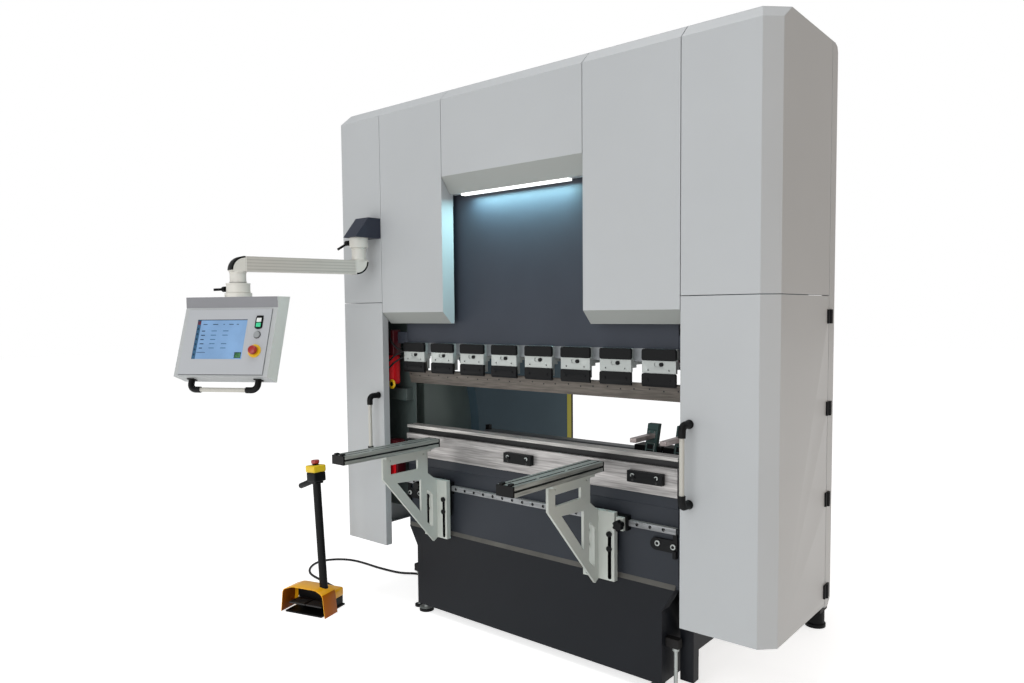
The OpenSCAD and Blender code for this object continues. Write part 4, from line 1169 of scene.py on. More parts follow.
@dataclass
class Core:
    """Side plates, bed, ram, tooling and drives.

    Attributes:
        clamp_bar_top: Height of the clamps' upper edge, where the ram's paint ends.
        ledge_z: Height over which the bed box's front steps back.
        rail_z: Height of the arm rail's middle.
        rail_end: Half length of the arm rail.
        rail_hole: Half height of the holes in its front.
        die_neck_z: Height under which the bottom die is dark.
        jack: Height over which the jacks are bright, and the X and Y that bound them.
        block_places: Middles of the three clamp blocks.
        block_screw: Screw of a clamp block: distance from its middle, and height.
        block_hole_z: Height of the dark holes under those screws.
        plate_screws: Screws of the end plates: distance from the middle, and height.
        pitch: Distance between two clamps.
        clamps: Number of clamps.
        recess_x: Half width of a clamp's slots.
        recess_y: Outermost Y of their dark walls.
        recess_z: Lowest and highest point of them.
        marks: Screws along the punch, from a clamp's middle, in X and Z.
    """

    clamp_bar_top: float = 1.396
    ledge_z: float = 0.440
    rail_z: float = 0.679
    rail_end: float = 0.775
    rail_hole: float = 0.0078
    die_neck_z: float = 0.955
    jack: Point = (0.0122, 0.77, 0.04)
    block_places: tuple[float, ...] = (-0.678, -0.018, 0.642)
    block_screw: Pair = (0.054, 0.884)
    block_hole_z: float = 0.864
    plate_screws: tuple[Pair, ...] = ((0.689, 0.618), (0.759, 0.614))
    pitch: float = 0.2
    clamps: int = 8
    recess_x: float = 0.055
    # recess_y: Outermost Y of their dark walls, painted shade.
    recess_y: float = -0.0405
    recess_z: Pair = (1.3105, 1.3475)
    marks: tuple[Pair, ...] = ((-0.060, 1.232), (0.004, 1.226), (0.068, 1.229))

    def build(self, shop: Workshop) -> None:
        """Refines the machine's own steelwork.

        Args:
            shop: The workshop.
        """
        shop.refine("side_plates", [FRAME_PAINT, CHARCOAL], 0.002, choose=self.leg,
                    cuts=[(Axis.Z, self.ledge_z)])
        shop.refine("frame_ties", [UNDERSIDE], 0.002)
        shop.refine("bed_plate", [MACHINE], 0.002)
        shop.refine("bed_box", [CHARCOAL, LEDGE], 0.003, choose=self.ledge)
        shop.refine("bench", [STEEL, WEAR_AND_SHEEN], 0.001, choose=self.bench_top)
        shop.refine("bottom_die", [WEAR_AND_SHEEN, DARK_STEEL], 0.0008, choose=self.die_stem,
                    cuts=[(Axis.Z, self.die_neck_z + 0.0005)])
        shop.refine("clamp_blocks", [BLACKED], 0.0015, corner=0.006)
        shop.refine("arm_rail", [RAIL, BRIGHT, BLACKED], 0.0006, choose=self.rail_face)
        shop.refine("levelling_feet", [BLACKED, BRIGHT], 0.0015, choose=self.jack_face)
        shop.refine("ram", [RAM_PAINT, BARE], 0.002, choose=self.ram_foot,
                    cuts=[(Axis.Z, self.clamp_bar_top)])
        shop.refine("clamp_bodies", [BRIGHT, DARK_STEEL], 0.0008, choose=self.clamp_recess)
        shop.refine("clamp_plates", [BLACKED], 0.0012, corner=0.009)
        shop.refine("top_punch", [PUNCH], 0.0005)
        shop.dress(BARE, "nuts_and_runners", "screw_left", "screw_right", "linear_rails")
        shop.dress(BLACKED, "servo_motors")
        self.screws()
        self.ram_screws()

    def ledge(self, spot: Spot) -> int:
        """Lightens the ledge on the bed box's front."""
        return 1 if spot.at.z > self.ledge_z else 0

    def leg(self, spot: Spot) -> int:
        """Darkens the side plates' legs."""
        return 1 if spot.at.z < self.ledge_z else 0

    @staticmethod
    def bench_top(spot: Spot) -> int:
        """Brightens the bench's top faces: real wear, and a painted highlight where the top light
        falls.
        """
        return 1 if spot.way.z > 0.5 else 0

    def die_stem(self, spot: Spot) -> int:
        """Darkens the stem under the die's head."""
        return 1 if spot.at.z < self.die_neck_z else 0

    def rail_face(self, spot: Spot) -> int:
        """Picks the finish of a face of the rail.

        Args:
            spot: The face.

        Returns:
            Number of the plain front, the top with a painted highlight, or a dark hole.
        """
        within = abs(spot.at.x) < self.rail_end - 0.004
        if within and abs(spot.way.y) < 0.3 and abs(spot.at.z - self.rail_z) < self.rail_hole:
            return 2
        # Up-facing faces take the bright steel: a painted highlight.
        return 1 if spot.way.z > 0.5 else 0

    def jack_face(self, spot: Spot) -> int:
        """Leaves the jacks' screws and nuts bright.

        Args:
            spot: The face.

        Returns:
            Number of the black foot or the bright jack.
        """
        foot, outer, back = self.jack
        return 1 if spot.at.z > foot and abs(spot.at.x) < outer and spot.at.y < back else 0

    def ram_foot(self, spot: Spot) -> int:
        """Leaves the ram bare behind the clamps."""
        return 1 if spot.at.z < self.clamp_bar_top else 0

    def clamp_recess(self, spot: Spot) -> int:
        """Darkens the inner faces of the clamps' slots and holes, as painted shade.

        Args:
            spot: The face.

        Returns:
            Number of the bright clamp or the dark wall with painted shade.
        """
        x = (spot.at.x + self.pitch / 2) % self.pitch - self.pitch / 2
        low, high = self.recess_z
        inside = low < spot.at.z < high and abs(x) < self.recess_x and abs(spot.way.y) < 0.6
        return 1 if inside and spot.at.y < self.recess_y else 0

    def screws(self) -> None:
        """Sets the bright socket screws into the black blocks and end plates."""
        piece = Sculptor([BRIGHT, BLACKED, DARK_STEEL])
        front, plate_front, ahead = -0.060, -0.035, (0, -1, 0)
        aside, z = self.block_screw
        for middle in self.block_places:
            for x in (middle - aside, middle + aside):
                piece.screw((x, front, z), ahead, 0.0085, 0.004, 0, 1)
                piece.rod((x, front + 0.001, self.block_hole_z),
                          (x, front - 0.0005, self.block_hole_z), 0.0055, 2)
        for s in (-1, 1):
            for x, z in self.plate_screws:
                piece.screw((s * x, plate_front, z), ahead, 0.0115, 0.005, 0, 1)
        piece.publish("block_screws", "base", smooth=50)

    def ram_screws(self) -> None:
        """Sets the small screws along the punch."""
        piece = Sculptor([DARK_STEEL])
        first, back, front = -self.pitch * (self.clamps - 1) / 2, -0.0128, -0.0138
        for k in range(self.clamps):
            for dx, z in self.marks:
                x = first + k * self.pitch + dx
                piece.rod((x, back, z), (x, front, z), 0.0035, 0, sides=14)
        piece.publish("punch_marks", "ram", smooth=50)


@dataclass
class Guards:
    """Laser arms, light curtains and electric units.

    Attributes:
        arm_x: Inner and outer side of an arm, from the middle.
        arm_y: Front and back of the arms.
        arm_top: Top of their heads.
        shade_z: Height over which the arms are in a darker red, a painted shade.
        disc_z: Height of the arms' feet.
        disc_x: Distance of the yellow discs from the middle.
        disc: Section of a disc, as radius and height.
        mount: Inner end, front, back, foot and top of an arm's mount.
        loops: Start and end heights of the two hoses before an arm.
        hose: Points of the thin hose beside them.
        red_low: Lowest corner of the red unit.
        red_high: Highest corner of its upper half.
        red_seam: Height of the seam between its halves.
        lens_y: Front of the light curtains' lens strips.
    """

    arm_x: Pair = (0.847, 0.925)
    arm_y: Pair = (-0.060, -0.002)
    arm_top: float = 1.460
    shade_z: float = 1.330
    disc_z: float = 1.174
    disc_x: float = 0.854
    disc: tuple[Pair, ...] = (
        (0.0, 0.0), (0.0225, 0.0), (0.0245, 0.002), (0.0245, 0.007), (0.0215, 0.009),
        (0.013, 0.009), (0.012, 0.006), (0.0, 0.006))
    mount: tuple[float, ...] = (0.775, -0.025, 0.015, 1.390, 1.450)
    loops: tuple[Pair, ...] = ((1.352, 1.268), (1.322, 1.228))
    hose: tuple[Point, ...] = (
        (0.872, -0.058, 1.462), (0.868, -0.062, 1.430), (0.852, -0.064, 1.396),
        (0.826, -0.052, 1.366), (0.800, -0.032, 1.348))
    red_low: Point = (-0.892, -0.075, 0.665)
    red_high: Point = (-0.828, -0.010, 0.885)
    red_seam: float = 0.800
    lens_y: float = 1.392

    def build(self, shop: Workshop) -> None:
        """Refines the guards and units, and makes the laser arms and the red unit.

        Args:
            shop: The workshop.
        """
        self.laser_arms()
        self.red_unit()
        shop.refine("light_curtains", [YELLOW, BLACK], 0.002, choose=self.curtain,
                    cuts=[(Axis.Y, self.lens_y)])
        shop.refine("electric_units", [UNIT_GREY, UNIT_RED, DUCT, CABINET], 0.002,
                    choose=self.unit)

    def laser_arms(self) -> None:
        """Makes both laser arms: mount, head with painted shade, bright red arm and yellow disc.
        """
        piece = Sculptor([RED, RED_SHADE, RAM_PAINT, YELLOW_KEY, BLACKED, RUBBER])
        red, deep, grey, yellow, black, hose = range(6)
        (left, right), (front, back) = self.arm_x, self.arm_y
        inner, near, far, low, high = self.mount
        piece.box((inner, near, low), (left + 0.005, far, high), grey, 0.002)
        # The head above shade_z is in the darker red: painted shade.
        piece.box((left, front + 0.004, self.shade_z - 0.004), (right, back, self.arm_top), deep,
                  0.006, 3)
        piece.box((left + 0.004, front, self.disc_z + 0.001), (right - 0.004, back, self.shade_z),
                  red, 0.014, 4)
        edge = (left + 0.024, front + 0.003)
        piece.rod((*edge, self.disc_z + 0.018), (*edge, self.shade_z - 0.012), 0.013, red,
                  width=0.005, steps=3)
        z = self.disc_z + 0.004
        piece.turned(self.disc, (self.disc_x, front + 0.001, z), (0, -1, 0), yellow)
        piece.rod((self.disc_x, front, z), (self.disc_x, front - 0.0075, z), 0.012, black,
                  width=0.001)
        for start, end in self.loops:
            fall = start - end
            way = [(0.782, -0.030, start), (0.806, -0.046, start - fall * 0.10),
                   (0.838, -0.062, start - fall * 0.34), (0.868, -0.068, start - fall * 0.62),
                   (0.898, -0.067, start - fall * 0.86), (0.916, -0.058, end)]
            piece.swept(way, 0.0046, hose, sides=12)
        piece.swept(self.hose, 0.0050, hose, sides=12)
        piece.mirrored().publish("laser_arms_piece", "ram", ["laser_arms"], smooth=45)

    def red_unit(self) -> None:
        """Makes the small red unit on the left plate, low behind the door."""
        piece = Sculptor([RED, RED_SHADE])
        (x0, y0, z0), (x1, y1, z1) = self.red_low, self.red_high
        piece.box((x0, y0, z0), (x1, y1, self.red_seam), 0, 0.003)
        # The upper half and the side slab take the darker red: painted shade.
        piece.box((x0, y0, self.red_seam + 0.001), (x1, y1, z1), 1, 0.003)
        piece.box((x1 - 0.001, y0 + 0.005, z0 + 0.003), (x1 + 0.0135, y1 - 0.004, z1 - 0.003), 1,
                  0.001)
        piece.publish("red_unit", "base", smooth=45)

    def curtain(self, spot: Spot) -> int:
        """Blackens the lens strip at the back of the posts."""
        return 1 if spot.at.y > self.lens_y or spot.way.y < -0.9 else 0

    @staticmethod
    def unit(spot: Spot) -> int:
        """Picks the finish of an electric unit by its place.

        Args:
            spot: The face.

        Returns:
            Number of the cabinet's grey green, the red, the duct's grey green or the grey.
        """
        x, y, z = spot.island
        cabinet_y, duct_y, duct_foot, right_top = 0.15, (0.02, 0.045), 0.9, 0.85
        if y > cabinet_y:
            return 3
        if x < 0 and duct_y[0] < y < duct_y[1]:
            return 1 if z < duct_foot else 2
        return 1 if x > 0 and z < right_top else 0


@dataclass
class Supports:
    """Both support arms.

    Attributes:
        places: Middle of each arm, left and right.
        top_z: Top of the profiles.
        width: Width of a profile.
        height: Height of a profile.
        skin: Thickness of the profiles' light outer faces.
        front_y: Front end of the profiles, without their caps.
        back_y: Back end of the profiles, without their caps.
        block: Lowest and highest X, Y and Z of a knob block, from its arm's middle.
        flange: Lowest and highest X, Y and Z inside a bracket's flange, from its arm's middle.
        bar: Half width of the bar between the flange's slots.
        stop_x: Distance of the sliding stops from a profile's middle.
        fixings: Distances of the small fixings from a profile's front end.
    """

    places: Pair = (-0.521, 0.432)
    top_z: float = 0.930
    width: float = 0.080
    height: float = 0.040
    skin: float = 0.0006
    front_y: float = -0.667
    back_y: float = -0.098
    block: tuple[Pair, ...] = ((0.084, 0.121), (-0.0725, -0.0568), (0.648, 0.705))
    flange: tuple[Pair, ...] = ((-0.071, 0.082), (-0.0805, -0.0585), (0.434, 0.700))
    bar: float = 0.010
    stop_x: float = 0.020
    fixings: Pair = (0.16, 0.34)

    def build(self, shop: Workshop) -> None:
        """Refines the arms.

        Args:
            shop: The workshop.
        """
        for side, x in zip(Side, self.places):
            shop.refine(f"carriage_{side.word}", [BLACK, SUPPORT], 0.0015,
                        choose=lambda spot, x=x, s=side.sign: self.knob_block(spot, x, s))
            shop.refine(f"bracket_{side.word}", [SUPPORT, BLACKED], 0.0015,
                        choose=lambda spot, x=x, s=side.sign: self.slot_wall(spot, x, s))
            shop.refine(f"profile_{side.word}", [ALLOY, SLOT_SHADE, BLACK], 0.0008,
                        choose=lambda spot, x=x: self.profile_face(spot, x),
                        cuts=[(Axis.Y, self.front_y), (Axis.Y, self.back_y)])
            shop.refine(f"knob_{side.word}", [BLACK], 0.003, steps=3)
            self.stops(side, x)

    def knob_block(self, spot: Spot, x: float, sign: int) -> int:
        """Leaves the knob block white on the black carriage.

        Args:
            spot: The face.
            x: Middle of the arm.
            sign: 1 on the right arm, -1 on the left one.

        Returns:
            Number of the black carriage or the white block.
        """
        near = (sign * (spot.at.x - x), spot.at.y, spot.at.z)
        return 1 if all(a <= v <= b for v, (a, b) in zip(near, self.block)) else 0

    def slot_wall(self, spot: Spot, x: float, sign: int) -> int:
        """Blackens the walls of the slots in a bracket's flange, as painted shade.

        Args:
            spot: The face.
            x: Middle of the arm.
            sign: 1 on the right arm, -1 on the left one.

        Returns:
            Number of the white flange or the black wall with painted shade.
        """
        near = (sign * (spot.at.x - x), spot.at.y, spot.at.z)
        inside = all(a < v < b for v, (a, b) in zip(near, self.flange))
        return 1 if inside and abs(spot.way.y) < 0.5 and abs(near[0]) > self.bar else 0

    def profile_face(self, spot: Spot, x: float) -> int:
        """Picks the finish of a face of a profile.

        Args:
            spot: The face.
            x: Middle of the arm.

        Returns:
            Number of the light alloy, the dark inside of a slot as painted shade, or the black end
            cap.
        """
        if spot.at.y < self.front_y or spot.at.y > self.back_y:
            return 2
        middle = self.top_z - self.height / 2
        outer = (abs(spot.at.x - x) > self.width / 2 - self.skin
                 or abs(spot.at.z - middle) > self.height / 2 - self.skin)
        return 0 if outer else 1

    def stops(self, side: Side, x: float) -> None:
        """Sets the sliding stops on a profile's front end and the small fixings on its top.

        Args:
            side: Side of the arm.
            x: Middle of the arm.
        """
        piece = Sculptor([BLACK, BRIGHT])
        for dx in (-self.stop_x, self.stop_x):
            piece.box((x + dx - 0.008, self.front_y - 0.006, self.top_z - 0.001),
                      (x + dx + 0.008, self.front_y + 0.014, self.top_z + 0.008), 0, 0.002)
        for dy in self.fixings:
            foot = (x + self.stop_x, self.front_y + dy)
            piece.rod((*foot, self.top_z - 0.003), (*foot, self.top_z + 0.002), 0.005, 1,
                      width=0.0008)
        piece.publish(f"profile_stops_{side.word}", f"height_{side.word[0]}", smooth=50)


@dataclass
class Pendant:
    """Swinging arm with the control box.

    Attributes:
        pivot: Axis of the swing, in X and Y.
        swing: Way of the arm, turned from +X, in degrees.
        reach: Length of the arm between its two axes.
        tube: Lower and upper side of the arm's tube.
        round: Radius of the elbows' outer curve.
        half: Half thickness of the arm.
        elbow: Length that an elbow reaches past its axis.
        hang: Place where the control box hangs.
        turn: Turn of the control box, in degrees.
        lean: Slope of its face, in degrees.
        face_start: Top edge of the face in the frame of the box.
        face_half: Half width of the face.
        twin: Middle of the button column on the face.
        keys_z: Middles of the start and the stop key on the face.
        reset_z: Middle of the grey key.
        stop_z: Middle of the red mushroom button.
        panel: Half width, lower edge and upper edge of the painted shadow line round the panel.
        glass: Left, right, lower and upper edge of the screen.
        glass_y: Front of the screen.
        drop: Distance of the bow handle's bar under the face's top edge.
        depth: Place of the bow handle behind the face.
        bow_half: Distance of the bow handle's ends from the middle.
        collar_top: Height where the collar meets the hood.
        outlet: Frame of the box, worked out.
        face: Frame of its face, worked out.
        arm: Frame of the arm, worked out.
    """

    pivot: Pair = (-0.897, -0.230)
    swing: float = 256.6
    reach: float = 0.605
    tube: Pair = (1.744, 1.813)
    round: float = 0.063
    half: float = 0.030
    elbow: float = 0.036
    hang: Point = (-1.0372, -0.8185, 1.627)
    turn: float = 28.0
    lean: float = 20.2
    face_start: Point = (0.0, -0.059, -0.049)
    face_half: float = 0.21
    twin: float = 0.152
    keys_z: Pair = (-0.0625, -0.0855)
    reset_z: float = -0.131
    stop_z: float = -0.206
    panel: Point = (0.2065, -0.3155, -0.0075)
    glass: tuple[float, ...] = (-0.153, 0.093, -0.243, -0.058)
    glass_y: float = -0.004
    drop: float = 0.383
    depth: float = 0.0455
    bow_half: float = 0.164
    collar_top: float = 1.9255
    outlet: Matrix = field(init=False)
    face: Matrix = field(init=False)
    arm: Matrix = field(init=False)

    def __post_init__(self) -> None:
        """Works out the frames of the arm, the box and its face."""
        self.outlet = (Matrix.Translation(self.hang)
                       @ Matrix.Rotation(math.radians(self.turn), 4, "Z"))
        self.face = (self.outlet @ Matrix.Translation(self.face_start)
                     @ Matrix.Rotation(math.radians(-self.lean), 4, "X"))
        self.arm = (Matrix.Translation((*self.pivot, 0))
                    @ Matrix.Rotation(math.radians(self.swing), 4, "Z"))

    def build(self, shop: Workshop) -> None:
        """Refines the pendant and adds its panel, screen and handle.

        Args:
            shop: The workshop.
        """
        shop.refine("pendant_bracket", [CREAM, NAVY], 0.003, choose=self.hood)
        shop.refine("pendant_arm", [CREAM, RIBBED], 0.004, steps=3, choose=self.tube_face,
                    cuts=[(Axis.X, self.elbow_end), (Axis.X, self.other_end)], frame=self.arm)
        self.trims()
        paints = [BOX_PAINT, HOOD_STRIP, PANEL, YELLOW_KEY, BOX_SIDE_LIT, CREAM, BLACK]
        shop.refine("control_box", paints, 0.0025, choose=self.box_face)
        self.outline()
        self.screen()
        self.bow()
        self.key("start", WHITE_KEY, self.keys_z[0])
        self.key("stop", GREEN_KEY, self.keys_z[1])
        shop.refine("reset_button", [GREY_KEY], 0.001)
        self.mushroom()
        shop.refine("upper_lever", [BLACK], 0.002)
        shop.refine("lower_lever", [BLACK], 0.002)

    @property
    def elbow_end(self) -> float:
        """End of the first elbow along the arm."""
        return self.round - self.elbow

    @property
    def other_end(self) -> float:
        """Start of the second elbow along the arm."""
        return self.reach + self.elbow - self.round

    def hood(self, spot: Spot) -> int:
        """Darkens the hood over the collar."""
        return 1 if spot.at.z > self.collar_top else 0

    def tube_face(self, spot: Spot) -> int:
        """Ribs the tube between the elbows.

        Args:
            spot: The face.

        Returns:
            Number of the plain paint or the ribbed one.
        """
        near = self.arm.inverted() @ spot.at
        inside = self.elbow_end < near.x < self.other_end
        return 1 if inside and self.tube[0] + 0.001 < near.z < self.tube[1] - 0.001 else 0

    def box_face(self, spot: Spot) -> int:
        """Picks the finish of a face of the control box.

        Args:
            spot: The face.

        Returns:
            Number of the cream neck, the yellow ring, the panel, the strip under the hood,
            the side lightened as painted light, a black recess, or the plain paint.
        """
        plain, strip, panel, ring, side, neck, recess = range(7)
        near = self.face.inverted() @ spot.at
        way = self.face.to_3x3().inverted() @ spot.way
        own = self.outlet.to_3x3().inverted() @ spot.way
        if (self.outlet.inverted() @ spot.at).z > 0.0005:
            return neck
        if near.y < -0.0055 and math.hypot(near.x - self.twin, near.z - self.stop_z) < 0.031:
            return ring
        if way.y < -0.99:
            return panel if near.y < -0.0045 else plain
        if own.y < -0.99:
            return strip
        # The sides take the lighter copy of the box paint: painted light.
        if abs(own.x) > 0.9 and abs(near.x) > self.face_half:
            return side
        inside = abs(near.x) < self.face_half - 0.01 and near.z < -0.02
        return recess if inside and -0.004 < near.y < 0.03 else plain

    def trims(self) -> None:
        """Adds the black trims on the elbows, the seams and the lips of the necks."""
        piece = Sculptor([BLACK, CREAM])
        foot, crown = self.tube
        aside = self.half + 0.0012
        ends = ((self.elbow_end, foot + self.round, 180), (self.other_end, crown - self.round, 0))
        for x, z, start in ends:
            arc = [math.radians(start + 90 * k / 10) for k in range(11)]
            outer, inner = ([(x + r * math.cos(a), z + r * math.sin(a)) for a in arc]
                            for r in (self.round + 0.0012, self.round - 0.0065))
            piece.prism(outer + inner[::-1], -aside, aside, 0, 0.0006)
        for x in (self.elbow_end + 0.004, self.other_end - 0.004):
            piece.box((x - 0.002, -self.half - 0.001, foot - 0.001),
                      (x + 0.002, self.half + 0.001, crown + 0.001), 1, 0.0006)
        top, neck, collar, socket = self.hang[2], 0.0385, 0.0540, 0.0545
        for x, z, r in ((0, crown + 0.004, neck), (0, crown + 0.054, neck),
                        (self.reach, foot - 0.008, neck), (self.reach, top + 0.066, neck),
                        (self.reach, top + 0.058, collar), (self.reach, top + 0.020, socket)):
            piece.rod((x, 0, z), (x, 0, z + 0.005), r, 1, sides=48, width=0.0012)
        piece.publish("arm_trims", "arm", smooth=40, place=self.arm)

    def outline(self) -> None:
        """Adds the painted shadow line round the panel, the button surround and the bezels."""
        piece = Sculptor([SEAM_SHADOW_AND_BEZEL, BLACK])
        (x, low, high), line = self.panel, 0.0022  # the line's width
        # The four strips round the panel are a painted shadow line in the gap.
        for x0, z0, x1, z1 in ((-x, low, x, low + line), (-x, high - line, x, high),
                               (-x, low, -x + line, high), (x - line, low, x, high)):
            piece.box((x0, -0.0016, z0), (x1, 0.001, z1), 0)
        front, back, half, bulge = -0.0088, -0.0045, 0.0182, 0.0085
        above, below = self.keys_z[0] + 0.0100, self.keys_z[1] - 0.0100
        for z, s in ((above, 1), (below, -1)):
            turns = [math.pi * k / 12 for k in range(13)]
            arc = [(self.twin + half * math.cos(a), z + s * bulge * math.sin(a)) for a in turns]
            piece.prism(arc, front, back, 1, 0.0012)
        for s in (-1, 1):
            a, b = sorted((self.twin + s * 0.0145, self.twin + s * half))
            piece.box((a, front, below - 0.0005), (b, back, above + 0.0005), 1, 0.0008)
        piece.box((self.twin - 0.015, -0.0080, -0.0752), (self.twin + 0.015, back, -0.0730), 1)
        bezel = [(0.0152, 0.0), (0.0172, 0.0), (0.0170, 0.0030), (0.0162, 0.0038),
                 (0.0152, 0.0030), (0.0152, 0.0)]
        piece.turned(bezel, (self.twin, -0.005, self.reset_z), (0, -1, 0), 0)
        piece.publish("panel_fittings", "box", smooth=45, place=self.face)

    def key(self, word: str, finish: Finish, z: float) -> None:
        """Makes one key of the twin button.

        Args:
            word: Name of the key and of its body.
            finish: Finish of its lens.
            z: Height of its middle on the face.
        """
        piece = Sculptor([finish, BLACK])
        x, half, rise, front = self.twin, 0.0130, 0.0108, -0.0100
        piece.box((x - half, front, z - rise), (x + half, 0.010, z + rise), 1, 0.002)
        half, rise = half - 0.0015, rise - 0.0012
        piece.box((x - half, front - 0.002, z - rise), (x + half, front + 0.002, z + rise), 0,
                  0.0035, 3)
        piece.publish(f"{word}_button_piece", word, [f"{word}_button"], smooth=45, place=self.face)

    def mushroom(self) -> None:
        """Makes the red mushroom button on its stem."""
        shape = [(0.0, -0.030), (0.0118, -0.030), (0.0118, 0.0), (0.0165, 0.0), (0.0192, 0.0015),
                 (0.0200, 0.0045), (0.0200, 0.0105), (0.0188, 0.0145), (0.0160, 0.0170),
                 (0.0100, 0.0180), (0.0, 0.0183)]
        piece = Sculptor([RED_KEY])
        piece.turned(shape, (self.twin, -0.016, self.stop_z), (0, -1, 0))
        piece.publish("estop_button_piece", "estop", ["estop_button"], smooth=50, place=self.face)

    def screen(self) -> None:
        """Makes the screen with its plain menu: coloured fields and short rows."""
        piece = Sculptor([SCREEN, SCREEN_DARK, SCREEN_GREEN, SCREEN_RED, SCREEN_BAR])
        glass, dark, green, red, bar = range(5)
        left, right, low, high = self.glass
        piece.box((left, self.glass_y, low), (right, self.glass_y + 0.002, high), glass)

        def mark(x0: float, x1: float, z0: float, z1: float, finish: int) -> None:
            """Adds one flat field of the menu."""
            piece.box((x0, self.glass_y - 0.0004, z0), (x1, self.glass_y + 0.0005, z1), finish)

        mark(left, left + 0.017, low, high, bar)
        mark(left, right, high - 0.003, high, dark)
        mark(left + 0.001, left + 0.016, high - 0.024, high - 0.006, red)
        for k in range(6):
            z = high - 0.040 - k * 0.024
            mark(left + 0.004, left + 0.012, z - 0.009, z, dark)
        mark(right - 0.038, right - 0.006, low + 0.005, low + 0.032, dark)
        mark(right - 0.036, right - 0.008, low + 0.007, low + 0.030, green)
        for start, length in ((0.030, 0.020), (0.078, 0.026), (0.130, 0.006), (0.158, 0.022),
                              (0.196, 0.010)):
            mark(left + start, left + start + length, high - 0.024, high - 0.021, dark)
        for row in range(5):
            z = high - 0.052 - row * 0.020
            mark(left + 0.028, left + 0.044 + 0.003 * (row % 2), z - 0.004, z, dark)
            mark(left + 0.076, left + 0.102, z - 0.003, z, bar)
            if row != 2:
                mark(left + 0.134, left + 0.160, z - 0.003, z, bar)
        mark(left + 0.020, left + 0.062, low + 0.030, low + 0.032, dark)
        piece.publish("screen_piece", "box", ["screen"], smooth=30, place=self.face)

    def bow(self) -> None:
        """Makes the bow handle: a light bar between two thick black elbows."""
        piece = Sculptor([HANDLE, BLACK])
        y, bar, foot, r, end = self.depth, -self.drop + 0.012, -0.323, 0.027, self.bow_half
        pad = 0.017
        piece.rod((-0.130, y, bar), (0.130, y, bar), 0.0100)
        for s in (-1, 1):
            way = [(s * end, y, foot + 0.004), (s * end, y, bar + r)]
            for k in range(1, 7):
                a = math.radians(90 * k / 6)
                way.append((s * (end - r * (1 - math.cos(a))), y, bar + r - r * math.sin(a)))
            way.append((s * (end - 0.052), y, bar))
            piece.swept(way, 0.0140, 1, sides=20)
            piece.box((s * end - pad, y - pad, foot - 0.005),
                      (s * end + pad, y + pad, foot + 0.001), 1, 0.002)
        piece.publish("box_handle_piece", "box", ["box_handle"], smooth=60, place=self.face)


